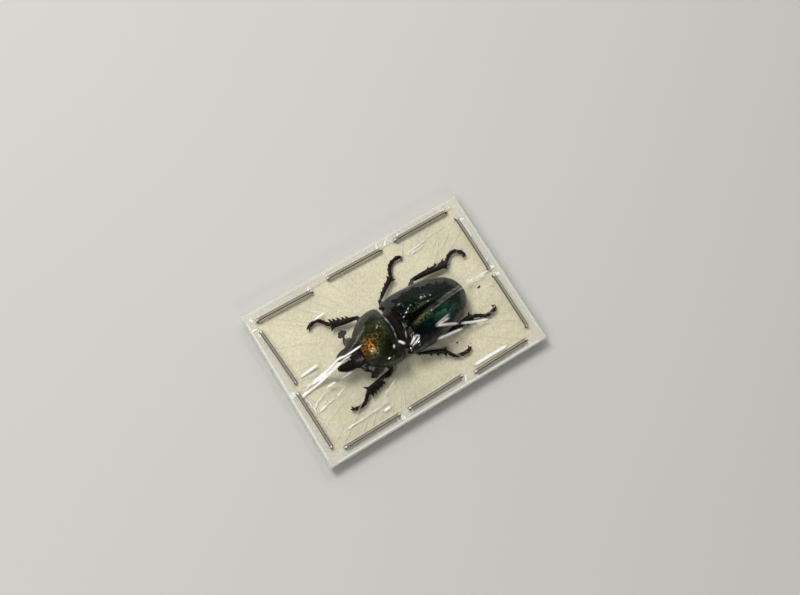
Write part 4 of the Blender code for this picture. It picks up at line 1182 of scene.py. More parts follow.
def build_specks(context):
    """A few dark crumbs that lie on the card under the film."""
    shells = []
    for x, y, thick, long in SPECKS:
        shells.append(ball((x, y, CARD_TOP + 0.07), 1.0, (long / 2, thick / 2, 0.08), 12, 8))
        centre = (x + long * 0.4, y + thick * 0.4, CARD_TOP + 0.06)
        shells.append(ball(centre, 1.0, (thick / 3, thick / 3, 0.06), 10, 6))
    mesh = closed_mesh("card_crumbs", shells)
    add_piece("card_crumbs", mesh, finishes(context)["dark_brown_shell"], [])


def staple_path(steps):
    """The wire's middle line in its own plane: a crown, two legs and the turned ends."""
    half = STAPLE_CROWN / 2
    thick = WIRE_THICKNESS / 2
    bend = WIRE_BEND - thick
    top = CROWN_BOTTOM + thick
    corner = half - thick - bend
    side = [(half - STAPLE_LEG_TURN, thick)]
    for start, end, centre_z in ((-90, 0, thick + bend), (0, 90, top - bend)):
        for k in range(steps + 1):
            angle = math.radians(start + (end - start) * k / steps)
            side.append((corner + bend * math.cos(angle), centre_z + bend * math.sin(angle)))
    crown = [(corner - corner * 2 * k / CROWN_STEPS, top) for k in range(1, CROWN_STEPS)]
    return side + crown + [(-x, z) for x, z in reversed(side)]


def build_staples(context):
    """The ten wire staples, swept along their bent path."""
    material = finishes(context)["bent_wire"]
    tree = wire_tree(material)
    path = staple_path(context.scene.beetle_sizes.staple_sides)
    # Painted highlight at each bend of the crown, kept on the path's points
    bend = STAPLE_CROWN / 2 - PAINTED_GLINT_INSET
    glint = [bell(abs(px), bend, PAINTED_GLINT_WIDTH) if pz > CROWN_BOTTOM else 0.0 for px, pz in path]
    draw = random.Random(11)
    for name, (x, y, turn) in STAPLES.items():
        bow = draw.uniform(-0.06, 0.06)
        direction = heading(turn)
        points = []
        for px, pz in path:
            shift = bow * (1 - (px / (STAPLE_CROWN / 2)) ** 2)
            side = Vector((-direction.y, direction.x, 0)) * shift
            points.append(tuple(Vector((x, y, pz)) + direction * px + side))
        mesh = bpy.data.meshes.new(name)
        mesh.from_pydata(points, [(k, k + 1) for k in range(len(points) - 1)], [])
        mesh.attributes.new("glint", "FLOAT", "POINT").data.foreach_set("value", glint)
        thing = in_scene(name + "_path", mesh)
        made = modifier_mesh(thing, tree, {
            "Width": WIRE_WIDTH, "Thickness": WIRE_THICKNESS, "Corner": WIRE_CORNER,
        })
        bpy.data.objects.remove(thing, do_unlink=True)
        add_piece("wire_" + name, made, material, [name])
        made.set_sharp_from_angle(angle=math.radians(50))


def prothorax_carve(point, along):
    """Raised rims, a faint middle furrow and uneven dents of the prothorax."""
    x, y, z = point
    half = smooth_value(PROTHORAX_STATIONS, x, 1)
    side = smooth_value(PROTHORAX_STATIONS, x, 3)
    rim = abs(y) / half
    out = Vector((0, math.copysign(1, y) * 0.6, 0.8 if z >= side else -0.2))
    point = point + out * (0.07 * bell(rim, 0.985, 0.012) - 0.05 * bell(rim, 0.95, 0.02))
    if z > side:
        lift = 0.07 * bell(x, -1.62, 0.13) - 0.08 * bell(x, -1.95, 0.16)
        lift += 0.05 * bell(x, -8.65, 0.12) - 0.05 * bell(x, -8.35, 0.16)
        lift -= 0.05 * bell(y, 0, 0.25) * bell(along, 0.55, 0.35)
        lift -= 0.12 * bell(abs(y), 3.3, 0.6) * bell(x, -5.2, 0.7)
        lift += 0.03 * grain(x, y, 4.0, 0.9)
        nearest = noise.voronoi(Vector((x, y, 0)) / PUNCTURE_PITCH)[0][0]
        lift -= PUNCTURE_DEPTH * bell(nearest, 0.0, 0.38)
        point.z += lift
    return point


def build_prothorax(context):
    """The broad shield behind the head."""
    shell = body_shell(PROTHORAX_STATIONS, 120, 220, prothorax_carve)
    mesh = closed_mesh("prothorax_shield", [shell])
    add_beetle_piece(
        context, "prothorax_shield", mesh, "green_gold", ["prothorax"]
    )


def scutellum_shell(rows, count):
    """The small shield between the wing cases' fronts."""
    rings = []
    for k in range(rows + 1):
        x = SCUTELLUM_FRONT - 0.35 + (SCUTELLUM_LENGTH + 0.25) * k / rows
        half = max(0.05, scutellum_half(x))
        top = smooth_value(ELYTRA_STATIONS, x, 2) - 0.12
        low = min(smooth_value(THORAX_STATIONS, x, 2) + 0.25, top - 0.25)
        ring = []
        for j in range(count):
            angle = 2 * math.pi * j / count
            rise = math.sin(angle)
            y = half * squared(math.cos(angle), 0.7)
            z = (top + low) / 2 + (top - low) / 2 * squared(rise, 0.6)
            z -= 0.07 * bell(abs(y) / half, 0.75, 0.12) if rise > 0 else 0.0
            ring.append(Vector((x, y, z)))
        rings.append(ring)
    return shell_of(rings)


def build_wing_cases(context):
    """The two wing cases, with their rims, ribs and wrinkles, and the small shield between."""
    rows, around, inner_steps = 150, 90, 14
    for name, side in (("elytron_right", 1), ("elytron_left", -1)):
        rings = []
        for i in range(rows + 1):
            along = (i / rows) ** 0.85
            outer = [elytron_point(along, j / around, 0.0, side) for j in range(around + 1)]
            inner = [
                elytron_point(along, 1 - j / inner_steps, ELYTRON_WALL, side)
                for j in range(inner_steps + 1)
            ]
            rings.append(outer + inner)
        mesh = closed_mesh("wing_case", [shell_of(rings)])
        add_beetle_piece(context, "case_" + name, mesh, "teal_case", [name])
        mesh.set_sharp_from_angle(angle=math.radians(60))
    mesh = closed_mesh("scutellum_shield", [scutellum_shell(30, 40)])
    add_beetle_piece(context, "scutellum_shield", mesh, "teal_case", ["scutellum"])


def head_carve(point, along):
    """A dished brow, raised side ridges before the eyes and a squared front rim."""
    x, y, z = point
    side = smooth_value(HEAD_STATIONS, x, 3)
    if z > side:
        lift = -0.22 * bell(y, 0, 1.0) * bell(x, -10.3, 0.55)
        lift += 0.14 * bell(abs(y), 2.1, 0.35) * bell(x, -10.3, 0.7)
        lift += 0.10 * bell(x, -11.0, 0.12)
        lift += 0.03 * grain(x, y, 2.0, 0.5)
        point = point + Vector((0, 0, lift))
    return point


def thorax_carve(point, along):
    """Cross furrows in the gap behind the prothorax, and an uneven belly."""
    x, y, z = point
    ripple = 0.06 * math.sin(x * 9.0) * bell(x, -0.2, 1.0)
    return point + Vector((0, 0, ripple + 0.05 * grain(x, y, z, 0.7)))


def abdomen_carve(point, along):
    """The belly's overlapping rings."""
    x, y, z = point
    saw = ((x - 4.8) / 1.55) % 1.0
    step = 0.16 * (saw**2)
    middle = Vector((x, 0, 2.6))
    return middle + (point - middle) * (1 - 0.035 + 0.22 * step) + Vector((0, 0, 0.02 * grain(x, y, z, 0.5)))


def build_body(context):
    """Head, middle body and belly."""
    pieces = (
        ("head_capsule", HEAD_STATIONS, 60, 130, head_carve, "head"),
        ("middle_body", THORAX_STATIONS, 70, 120, thorax_carve, "thorax"),
        ("belly", ABDOMEN_STATIONS, 110, 120, abdomen_carve, "abdomen"),
    )
    for name, stations, rows, count, carve, node_name in pieces:
        mesh = closed_mesh(name, [body_shell(stations, rows, count, carve)])
        add_beetle_piece(context, name, mesh, "dark_brown_shell", [node_name])


def jaw_line(reach, side, t):
    """Middle line of a jaw at t from root to point."""
    x = MANDIBLE_ROOT_X - (reach + 0.2) * t
    y = 1.28 + 0.12 * math.sin(math.pi * t) - 0.55 * t**2
    z = 2.75 + 1.2 * t**1.8
    return Vector((x, y * side, z))


def jaw_width(t):
    """Half width of a jaw at t from root to point."""
    return 0.98 * (1 - 0.42 * t**1.6)


def build_jaws(context):
    """The two upcurved jaws with their small inner teeth."""
    sizes = context.scene.beetle_sizes
    draw = random.Random(5)
    for name, (side, reach) in JAWS.items():
        steps = [k / 8 for k in range(9)]
        path = [jaw_line(reach, side, t) for t in steps]
        shells = [sweep(path, [jaw_width(t) for t in steps], 0.74, 28, 40, 0.5)]
        root = path[0] + Vector((0.25, side * 0.1, 0.0))
        shells.append(ball(root, 1.0, (0.7, 1.05, 0.74), 28, 16))
        outer = [
            jaw_line(reach, side, t) + Vector((0, side * (0.62 - 0.5 * t), 0.25))
            for t in (0, 0.35, 0.7)
        ]
        shells.append(sweep(outer, (0.34, 0.42, 0.16), 0.9, 16, 20))
        for k in range(JAW_TEETH):
            t = 0.14 + 0.72 * k / (JAW_TEETH - 1)
            middle = jaw_line(reach, side, t)
            inner = jaw_width(t)
            length = JAW_TOOTH_LENGTH * draw.uniform(0.8, 1.15)
            room = abs(middle.y) - inner - JAW_MIDDLE_GAP
            length = length if length <= room else max(room, 0.1)
            root = middle + Vector((0, -side * (inner - 0.22), 0.12))
            tip = middle + Vector((-0.14, -side * (inner + length), 0.3))
            shells.append(sweep([root, root.lerp(tip, 0.6), tip], (0.19, 0.13, 0.05), 1.0, 10, 8))
        mesh = melted(name, shells, sizes.voxel, 5)
        add_beetle_piece(context, "jaw_" + name, mesh, "dark_brown_shell", [name])


def build_feelers(context):
    """The elbowed feelers with their leaved clubs, and the two eyes."""
    sizes = context.scene.beetle_sizes
    for name, (side, path, club, club_turn) in ANTENNAE.items():
        points = [Vector((x, y * side, z)) for x, y, z in path]
        centre = Vector((club[0], club[1] * side, club[2]))
        shells = [sweep(points, (0.34, 0.36, 0.36), 1.0, 14, 20)]
        for k in range(CLUB_BEADS):
            place = points[-1].lerp(centre, (k + 0.6) / (CLUB_BEADS + 0.3))
            shells.append(ball(place, 0.3 + 0.015 * k, (0.75, 1, 1), 14, 9))
        for k in range(CLUB_LEAVES):
            turn = club_turn + (k - (CLUB_LEAVES - 1) / 2) * CLUB_LEAF_TURN
            base = centre + Vector((0, 0, 0.13 * k - 0.2))
            tip = base + heading(turn) * 0.95
            leaf = [base, base.lerp(tip, 0.55) + heading(turn + 40) * 0.14, tip]
            shells.append(sweep(leaf, (0.28, 0.44, 0.3), 0.55, 14, 14))
        mesh = melted(name, shells, sizes.voxel * 0.8, 3)
        add_beetle_piece(context, "feeler_" + name, mesh, "dark_brown_shell", [name])
    x, y, z = EYE_PLACE
    for side, name in ((1, "eye_right"), (-1, "eye_left")):
        mesh = closed_mesh(name, [ball((x, side * y, z), EYE_RADIUS, (1, 0.95, 1.0), 64, 40)])
        add_beetle_piece(context, "ball_" + name, mesh, "eye_gloss", [name])


def tooth(root, tip, radius, forward):
    """A curved saw tooth that leans forwards towards its point."""
    middle = root.lerp(tip, 0.55) - forward * (tip - root).length * 0.08
    return sweep([root, middle, tip], (radius, radius * 0.66, 0.05), 0.8, 12, 12, 0.3)


def shin_frame(pose):
    """A leg's knee and ankle, and the shin's onward and leftward directions."""
    knee = Vector((*pose["knee"], KNEE_HEIGHT))
    length, turn = pose["shin"]
    ankle = knee + heading(turn) * length
    ankle.z = SHIN_HEIGHT
    forward = (ankle - knee).normalized()
    return knee, ankle, forward, Vector((-forward.y, forward.x, 0)).normalized()


def foot_joints(ankle, pose):
    """Start, end, onward and sideways directions of each foot joint, from the ankle on."""
    start = ankle.copy()
    for k, (size, turn) in enumerate(zip(FOOT_JOINTS, pose["foot"])):
        end = start + heading(turn) * size * pose["scale"]
        end.z = FOOT_HEIGHT if k else (FOOT_HEIGHT + SHIN_HEIGHT) / 2
        onward = (end - start).normalized()
        yield start, end, onward, Vector((-onward.y, onward.x, 0))
        start = end


def leg_shells(pose, draw):
    """Closed shells of a leg: thigh, ridged toothed shin, five foot joints and claws."""
    root = Vector((*pose["root"], 1.15))
    knee, ankle, forward, left = shin_frame(pose)
    thin, wide = pose["widths"]
    thigh = [root.lerp(knee, t) for t in (0, 0.2, 0.5, 0.8, 0.97)]
    shells = [
        sweep(thigh, (0.5, 0.68, 0.74, 0.6, 0.34), 0.8, 24, 40),
        ball(knee, 0.38, (1, 1, 0.85)),
    ]
    places = (0.04, 0.15, 0.45, 0.8, 0.96, 1.0)
    swell = (0.12, 0.5, 0.85, 1.0, 0.85)
    radii = [thin / 2] + [0.04 + thin / 2 + (wide - thin) / 2 * t for t in swell]
    bow = [knee.lerp(ankle, t) + left * 0.1 * math.sin(math.pi * t) for t in places]
    shells.append(sweep(bow, radii, 0.5, 28, 60, 0.25))
    ridge = [
        knee.lerp(ankle, t) + Vector((0, 0, 0.14 + 0.16 * t)) for t in (0.08, 0.4, 0.7, 0.93)
    ]
    shells.append(sweep(ridge, (0.16, 0.2, 0.24, 0.22), 0.8, 14, 40))
    for place, side in pose["teeth"]:
        foot = knee.lerp(ankle, place - 0.05)
        reach = thin / 2 + (wide - thin) / 2 * place
        size = TOOTH_LENGTH * draw.uniform(0.88, 1.12) * (0.55 + 0.45 * place)
        size *= min(1.0, 0.1 + 0.6 * wide)
        tip = foot + left * side * (reach + size * 0.75) + forward * size * 0.7
        shells.append(tooth(foot + left * side * reach * 0.3, tip, 0.36, forward))
    spur_root = ankle - forward * 0.15 - left * 0.2
    spur_tip = spur_root + forward * 0.85 - left * 0.25 + Vector((0, 0, -0.12))
    shells.append(tooth(spur_root, spur_tip, 0.13, forward))
    return shells + foot_shells(ankle, pose)


def foot_shells(ankle, pose):
    """The foot's joints, each swelling to two small lobes, and the two hooked claws."""
    shells = []
    for k, (start, end, onward, across) in enumerate(foot_joints(ankle, pose)):
        last = k == len(FOOT_JOINTS) - 1
        points = [
            start - onward * 0.06, start.lerp(end, 0.3), start.lerp(end, 0.7), end - onward * 0.08,
        ]
        shells.append(sweep(points, (0.31, 0.35, 0.42, 0.5 if last else 0.46), 0.85, 16, 20, 0.4))
        for side in (-1, 1):
            lobe = end - onward * 0.04 + across * side * 0.22 - Vector((0, 0, 0.1))
            shells.append(ball(lobe, 0.17, (1, 1, 0.9), 12, 8))
    turn = pose["foot"][-1]
    bend = (pose["claw"] - turn + 180) % 360 - 180
    steps = 6
    for opening in (-11, 11):
        points, radii = [end - heading(turn) * 0.15], [0.34]
        place = end.copy()
        for k in range(steps):
            curl = (bend + opening * 0.3) * ((k + 1) / steps) ** 0.8
            place = place + heading(turn + opening * 1.2 + curl) * 0.19
            place.z = FOOT_HEIGHT + 0.05 - 0.25 * (k / steps) ** 2
            points.append(place.copy())
            radii.append(0.32 - 0.2 * (k + 1) / steps)
        shells.append(sweep(points, radii, 1.0, 12, 24, 0.3))
    return shells


def leg_hairs(pose, draw):
    """Roots, aims and lengths of the stiff hairs along a shin and under a foot."""
    rows = []
    knee, ankle, forward, left = shin_frame(pose)
    thin, wide = pose["widths"]
    for k in range(SHIN_HAIRS):
        t = draw.uniform(0.15, 0.98)
        side = draw.choice((-1, 1))
        reach = (thin / 2 + (wide - thin) / 2 * t) * 0.9
        rise = Vector((0, 0, draw.uniform(-0.1, 0.12)))
        root = knee.lerp(ankle, t) + left * side * reach + rise
        aim = forward * draw.uniform(0.7, 1.2) + left * side * 0.8
        aim += Vector((0, 0, draw.uniform(-0.4, 0.4)))
        rows.append((root, aim.normalized(), draw.uniform(0.22, 0.42)))
    for start, end, onward, across in foot_joints(ankle, pose):
        for n in range(JOINT_HAIRS):
            side = -1 if n % 2 else 1
            t = draw.uniform(0.55, 0.98)
            root = start.lerp(end, t) + across * side * 0.16 - Vector((0, 0, 0.08))
            aim = onward * draw.uniform(0.6, 1.2) + across * side * 0.8 - Vector((0, 0, 0.2))
            rows.append((root, aim.normalized(), draw.uniform(0.16, 0.32)))
    return rows


def build_legs(context):
    """The six toothed legs, and their stiff hairs."""
    sizes = context.scene.beetle_sizes
    draw = random.Random(7)
    hair_draw = random.Random(19)
    rows = []
    for name, pose in LEGS.items():
        mesh = melted(name, leg_shells(pose, draw), sizes.voxel, 4)
        add_beetle_piece(context, "limb_" + name, mesh, "leg_black", [name])
        rows += leg_hairs(pose, hair_draw)
    mesh = hair_mesh("leg_hairs", rows, finishes(context)["brown_hair"], sizes.hair_radius)
    add_beetle_piece(context, "leg_hairs", mesh, "brown_hair", [])


def build_fringes(context):
    """The golden hair along the jaws' inner edges, and the fringe behind the prothorax."""
    draw = random.Random(23)
    rows = []
    for side, reach in JAWS.values():
        for k in range(JAW_HAIRS):
            t = draw.uniform(0.05, 0.85)
            middle = jaw_line(reach, side, t)
            inner = jaw_width(t)
            root = middle + Vector((0, -side * inner * 0.9, draw.uniform(-0.25, 0.2)))
            aim = Vector((draw.uniform(-0.7, 0.1), -side, draw.uniform(-0.2, 0.5))).normalized()
            free = max(abs(middle.y) - inner - 0.02, 0.08)
            rows.append((root, aim, min(draw.uniform(0.25, 0.5), free + 0.2)))
    for k in range(FRINGE_HAIRS):
        y = draw.uniform(-4.1, 4.1)
        top = 2.9 + 2.3 * (1 - (y / 5.2) ** 2) ** 0.5
        root = Vector((draw.uniform(-1.36, -1.2), y, top - 0.35))
        aim = Vector((1.0, draw.uniform(-0.3, 0.3), draw.uniform(0.0, 0.35))).normalized()
        rows.append((root, aim, draw.uniform(0.25, 0.55)))
    radius = context.scene.beetle_sizes.hair_radius
    mesh = hair_mesh("golden_fringe", rows, finishes(context)["golden_hair"], radius)
    add_beetle_piece(context, "golden_fringe", mesh, "golden_hair", [])


# The film


def fold_profile(grid_x, grid_y, fold):
    """Height and whiteness of one fold over a grid of places (mm)."""
    (ax, ay), (bx, by), height, width, white, line_width = fold
    length = math.hypot(bx - ax, by - ay)
    if length > LONG_FOLD:
        width, line_width = max(width, LONG_FOLD_WIDTH), max(line_width, LONG_FOLD_LINE)
    ux, uy = (bx - ax) / length, (by - ay) / length
    along = (grid_x - ax) * ux + (grid_y - ay) * uy
    across = (grid_y - ay) * ux - (grid_x - ax) * uy
    fade = min(1.2, length / 3)
    ends = np.clip(along / fade, 0, 1) * np.clip((length - along) / fade, 0, 1)
    crest = np.exp(-((np.abs(across) / (width * 0.55)) ** 1.4))
    line = np.exp(-((across / line_width) ** 2))
    return height * crest * ends, white * line * ends


def taut(height, held, obstacle, sink):
    """Let the film pull tight and down between what holds it and what it rests on."""
    even_cells = np.indices(height.shape).sum(axis=0) % 2 == 0
    for step in range(TAUT_STEPS):
        for cells in (even_cells, ~even_cells):
            mean = height.copy()
            mean[1:-1, 1:-1] = (
                height[:-2, 1:-1] + height[2:, 1:-1] + height[1:-1, :-2] + height[1:-1, 2:]
            ) / 4
            moved = np.maximum(height + TAUT_PACE * (mean - sink - height), obstacle)
            height = np.where(cells & ~held, moved, height)
    return height


def body_surfaces(things, clearance, corners):
    """Search trees of the hull over body and film corners, and of the body itself (mm)."""
    hull = bmesh.new()
    body = bmesh.new()
    for thing in things:
        step = 1 if len(thing.data.vertices) < 30000 else 3
        for vert in list(thing.data.vertices)[::step]:
            hull.verts.new(vert.co / MM + Vector((0, 0, clearance)))
        body.from_mesh(thing.data)
    bmesh.ops.scale(body, vec=(1 / MM, 1 / MM, 1 / MM), verts=body.verts)
    for corner in corners:
        hull.verts.new(corner)
    bmesh.ops.convex_hull(hull, input=hull.verts)
    trees = [BVHTree.FromBMesh(build) for build in (hull, body)]
    hull.free()
    body.free()
    return trees


def film_marks(grid_x, grid_y):
    """Heights and whiteness of every fold: the placed ones, and those round the staples."""
    edge = np.abs(grid_x) > CARD_LENGTH / 2 - RIM_WIDTH
    edge |= np.abs(grid_y) > CARD_WIDTH / 2 - RIM_WIDTH
    # A pale rim, partly creased film and partly painted highlight
    crease = np.where(edge, RIM_WHITE_AND_HIGHLIGHT, 0.0)
    rises = np.zeros_like(grid_x)
    folds = list(FOLDS)
    draw = random.Random(31)
    for x, y, turn in STAPLES.values():
        direction = heading(turn)
        for k in range(STAPLE_FOLDS):
            end = -1 + 2 * (k + draw.uniform(-0.3, 0.3)) / (STAPLE_FOLDS - 1)
            reach = STAPLE_CROWN / 2 * end
            start = (x + direction.x * reach, y + direction.y * reach)
            share = draw.uniform(0.55, 0.8)
            target = (start[0] * share, start[1] * share)
            folds.append((target, start, draw.uniform(0.02, 0.06), 0.5, draw.uniform(0.0, 0.3), 0.09))
        # Crumples from the staples' ends to the rim, their whiteness partly painted highlight
        for k in range(RIM_CRUMPLES):
            reach = STAPLE_CROWN / 2 * draw.choice((-1, 1)) * draw.uniform(0.8, 1.12)
            start = Vector((x, y, 0)) + direction * reach
            slant = direction * draw.uniform(-1.5, 1.5)
            outward = (math.copysign(abs(direction.y), x), math.copysign(abs(direction.x), y), 0)
            end = start + Vector(outward) * draw.uniform(1.0, 2.0) + slant
            whiteness = draw.uniform(0.5, 0.95)
            folds.append((start[:2], end[:2], 0.0, 0.3, whiteness, draw.uniform(0.08, 0.14)))
    for fold in folds:
        rise, white = fold_profile(grid_x, grid_y, fold)
        rises = np.maximum(rises, rise)
        crease = np.maximum(crease, white)
    return rises, crease


def veil_ring(inside):
    """From 1 at the edge of where the film stands high to 0 well inside it."""
    depth = np.zeros(inside.shape)
    for step in range(RING_STEPS):
        depth += inside
        shrunk = inside.copy()
        core = shrunk[1:-1, 1:-1]
        core &= inside[:-2, 1:-1] & inside[2:, 1:-1] & inside[1:-1, :-2] & inside[1:-1, 2:]
        if step % 2:
            core &= inside[:-2, :-2] & inside[2:, 2:] & inside[2:, :-2] & inside[:-2, 2:]
        inside = shrunk
    return np.where(depth > 0, 1 - depth / RING_STEPS, 0.0)


def film_surface(context, things):
    """Heights of the film's under side on an even grid, its stand-off and its creases."""
    sizes = context.scene.beetle_sizes
    floor = CARD_TOP + FILM_GAP
    inner_x = CARD_LENGTH / 2 - FILM_FLAT_BAND
    inner_y = CARD_WIDTH / 2 - FILM_FLAT_BAND
    corners = [(x * inner_x, y * inner_y, floor) for x in (-1, 1) for y in (-1, 1)]
    hull_tree, body_tree = body_surfaces(things, sizes.film_clearance, corners)
    half_x = CARD_LENGTH / 2 + 0.1
    half_y = CARD_WIDTH / 2 + 0.1
    xs = np.linspace(-half_x, half_x, round(2 * half_x / sizes.film_cell) + 1)
    ys = np.linspace(-half_y, half_y, round(2 * half_y / sizes.film_cell) + 1)
    hull = np.full((len(xs), len(ys)), floor)
    obstacle = np.full_like(hull, floor)
    down = Vector((0, 0, -1))
    for i, x in enumerate(xs):
        for j, y in enumerate(ys):
            if abs(x) < inner_x and abs(y) < inner_y:
                above = Vector((x, y, 40))
                hit = hull_tree.ray_cast(above, down)[0]
                hull[i, j] = max(floor, hit.z) if hit else floor
                hit = body_tree.ray_cast(above, down)[0]
                obstacle[i, j] = max(floor, hit.z + sizes.film_clearance) if hit else floor
    grid_x, grid_y = np.meshgrid(xs, ys, indexing="ij")
    held = (np.abs(grid_x) >= inner_x) | (np.abs(grid_y) >= inner_y)
    height = taut(hull, held, obstacle, FILM_SUCTION * sizes.film_cell**2 / 4)
    rises, crease = film_marks(grid_x, grid_y)
    stand_off = veil_ring(obstacle > VEIL_FROM)
    stand_off[(grid_x < CLEAR_OVER_HEAD[0]) & (grid_y < CLEAR_OVER_HEAD[1])] = 0.0
    return xs, ys, height + rises, stand_off, crease


def rim_of(columns, rows):
    """Numbers of a grid's rim points, once round."""
    return (
        [i * rows for i in range(columns)]
        + [(columns - 1) * rows + j for j in range(1, rows)]
        + [i * rows + rows - 1 for i in range(columns - 2, -1, -1)]
        + [j for j in range(rows - 2, 0, -1)]
    )


def film_mesh(xs, ys, height, stand_off, crease):
    """The film's under side: its grid and the rows turned down, each with its two marks."""
    columns, rows = len(xs), len(ys)
    points = [(x, y, height[i, j]) for i, x in enumerate(xs) for j, y in enumerate(ys)]
    faces = [
        (i * rows + j, (i + 1) * rows + j, (i + 1) * rows + j + 1, i * rows + j + 1)
        for i in range(columns - 1) for j in range(rows - 1)
    ]
    veils = list(stand_off.ravel())
    creases_and_highlights = list(crease.ravel())
    rim = rim_of(columns, rows)
    count = len(rim)
    previous = rim
    for push, drop, shine in SKIRT:
        current = [len(points) + k for k in range(count)]
        for k in rim:
            x, y = points[k][:2]
            wide = x + math.copysign(push, x) if abs(x) > CARD_LENGTH / 2 - 0.01 else x
            deep = y + math.copysign(push, y) if abs(y) > CARD_WIDTH / 2 - 0.01 else y
            points.append((wide, deep, CARD_TOP + FILM_GAP - drop))
            veils.append(0.5)
            # Painted highlight along the film's turned-down edge
            creases_and_highlights.append(shine * (0.6 + 0.35 * grain(x, y, drop, 1.3, 7.0)))
        for k in range(count):
            n = (k + 1) % count
            faces.append((previous[k], current[k], current[n], previous[n]))
        previous = current
    mesh = bpy.data.meshes.new("clear_film")
    mesh.from_pydata(points, [], faces)
    build = bmesh.new()
    build.from_mesh(mesh)
    bmesh.ops.recalc_face_normals(build, faces=build.faces)
    build.faces.ensure_lookup_table()
    if build.faces[0].normal.z < 0:
        bmesh.ops.reverse_faces(build, faces=build.faces)
    build.to_mesh(mesh)
    build.free()
    for label, values in (("stand_off", veils), ("crease", creases_and_highlights)):
        kept = mesh.attributes.new(label, "FLOAT", "POINT")
        kept.data.foreach_set("value", np.array(values, dtype=np.float32))
    return mesh


def build_film(context):
    """The clear film: a tent over the beetle, taut from staple to staple, round the rim."""
    parts = (
        "prothorax", "case", "scutellum", "head", "middle", "belly", "jaw", "feeler", "ball", "limb",
    )
    beetle = [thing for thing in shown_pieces() if thing.name.split("_")[0] in parts]
    mesh = film_mesh(*film_surface(context, beetle))
    material = finishes(context)["stretched_film"]
    piece = add_piece("film_sheet", mesh, material, ["film"])
    shell = piece.modifiers.new("thickness", "SOLIDIFY")
    shell.thickness = context.scene.beetle_sizes.film_thickness * MM
    shell.offset = 1.0


# The stage


def add_light(name, place, size, power, colour=(1, 1, 1)):
    """A square lamp that looks at the beetle."""
    lamp = bpy.data.lights.new(name, "AREA")
    lamp.energy = power
    lamp.color = colour
    lamp.shape = "SQUARE"
    lamp.size = size
    thing = in_scene(name, lamp)
    thing.location = place
    aim = Vector(place) - Vector(STAGE_TARGET)
    thing.rotation_euler = aim.to_track_quat("Z", "Y").to_euler()
    return thing


def build_world(context):
    """A soft room: dark straight above, bright all round lower down, most on one side."""
    world = bpy.data.worlds.new("soft_room")
    world.use_nodes = True
    tree = world.node_tree
    direction = tree.nodes.new("ShaderNodeTexCoord").outputs["Generated"]
    apart = node(tree, "ShaderNodeSeparateXYZ", {0: direction})
    ring = spread(tree, apart.outputs[2], ROOM_DARK_FROM, ROOM_BRIGHT_TO, 1.0, ROOM_TOP)
    toward = node(tree, "ShaderNodeVectorMath", {
        0: direction, 1: ROOM_BRIGHT_SIDE,
    }, operation="DOT_PRODUCT")
    side = spread(tree, toward.outputs["Value"], -0.5, 0.75, ROOM_FAR_SIDE, 1.0)
    strength = math_node(tree, "MULTIPLY", math_node(tree, "MULTIPLY", ring, side), ROOM_STRENGTH)
    background = tree.nodes["Background"]
    background.inputs["Color"].default_value = (1.0, 0.985, 0.95, 1.0)
    tree.links.new(strength, background.inputs["Strength"])
    context.scene.world = world


def build_stage(context):
    """A plain pale floor, soft studio light and the photograph's camera."""
    build = bmesh.new()
    bmesh.ops.create_grid(build, x_segments=1, y_segments=1, size=1.5)
    mesh = mesh_from(build, "pale_floor")
    mesh.materials.append(floor_material(FLOOR_COLOUR))
    floor = in_scene("pale_floor", mesh)
    floor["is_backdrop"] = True
    build_world(context)
    for name, direction, size, power in LAMPS:
        place = Vector(direction).normalized() * LAMP_DISTANCE
        add_light(name, place, size, power)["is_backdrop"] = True
    key = add_light("key_lamp", KEY_PLACE, KEY_SIZE, KEY_POWER, (1.0, 0.98, 0.94))
    key.visible_glossy = False
    key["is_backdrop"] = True
    context.scene.view_settings.view_transform = "Standard"
    camera = bpy.data.cameras.new("photo_view")
    camera.lens = CAMERA_LENS
    camera.sensor_width = 36.0
    camera.clip_start = 0.01
    camera.clip_end = 10
    thing = in_scene("photo_view", camera)
    axes = Matrix((CAMERA_RIGHT, CAMERA_UP, CAMERA_BACK)).transposed().to_4x4()
    thing.matrix_world = Matrix.Translation(CAMERA_PLACE) @ axes
    context.scene.camera = thing


# Operators and panel


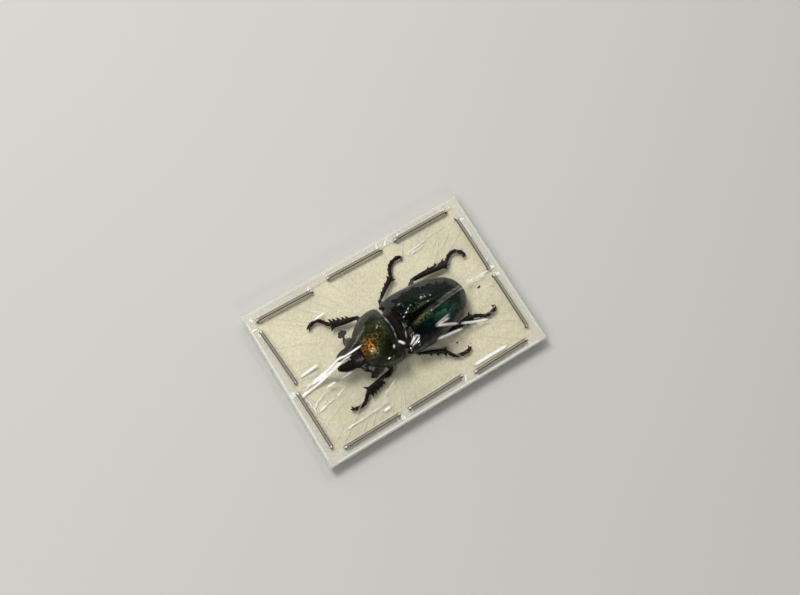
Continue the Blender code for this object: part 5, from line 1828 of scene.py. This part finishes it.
def make_operator(idname, label, build, note):
    """An operator class that builds one group of pieces and raises if it can't."""

    def execute(self, context):
        build(context)
        return {"FINISHED"}

    return type(
        "BEETLE_OT_" + idname,
        (bpy.types.Operator,),
        {
            "__doc__": note, "bl_idname": "beetle." + idname, "bl_label": label,
            "bl_options": {"REGISTER", "UNDO"}, "execute": execute,
        },
    )


OPERATORS = [
    make_operator(*row)
    for row in (
        ("stage", "Stage", build_stage, "Floor, soft light and camera"),
        ("card", "Card", build_card, "The pale card"),
        ("crumbs", "Crumbs", build_specks, "Dark crumbs on the card"),
        ("staples", "Staples", build_staples, "The ten wire staples"),
        ("prothorax", "Prothorax", build_prothorax, "The green-gold shield"),
        ("wing_cases", "Wing Cases", build_wing_cases, "Wing cases and scutellum"),
        ("body", "Body", build_body, "Head, middle body and belly"),
        ("jaws", "Jaws", build_jaws, "The two toothed jaws"),
        ("feelers", "Feelers And Eyes", build_feelers, "Feelers and eyes"),
        ("legs", "Legs", build_legs, "The six toothed legs"),
        ("fringes", "Fringes", build_fringes, "Golden hair on jaws and body"),
        ("film", "Film", build_film, "The stretched clear film"),
    )
]


class BEETLE_PT_panel(bpy.types.Panel):
    """Lists the beetle's pieces, sizes and colours."""

    bl_idname = "BEETLE_PT_panel"
    bl_label = "Saw-tooth Beetle"
    bl_space_type = "VIEW_3D"
    bl_region_type = "UI"
    bl_category = "Beetle"

    def draw(self, context):
        for operator in OPERATORS:
            self.layout.operator(operator.bl_idname)
        for group in (context.scene.beetle_sizes, context.scene.beetle_colours):
            for name in group.__annotations__:
                self.layout.prop(group, name)


CLASSES = [BeetleSizes, BeetleColours, *OPERATORS, BEETLE_PT_panel]


def register():
    """Add the classes, and the sizes and colours on the scene."""
    for item in CLASSES:
        bpy.utils.register_class(item)
    bpy.types.Scene.beetle_sizes = PointerProperty(type=BeetleSizes)
    bpy.types.Scene.beetle_colours = PointerProperty(type=BeetleColours)


def unregister():
    """Take them away again."""
    del bpy.types.Scene.beetle_colours
    del bpy.types.Scene.beetle_sizes
    for item in reversed(CLASSES):
        bpy.utils.unregister_class(item)


def main():
    """Register, build every piece in order, and write the two boxes."""
    register()
    for operator in OPERATORS:
        getattr(bpy.ops.beetle, operator.bl_idname.split(".")[1])()
    bpy.context.view_layer.update()


if __name__ == "__main__":
    main()
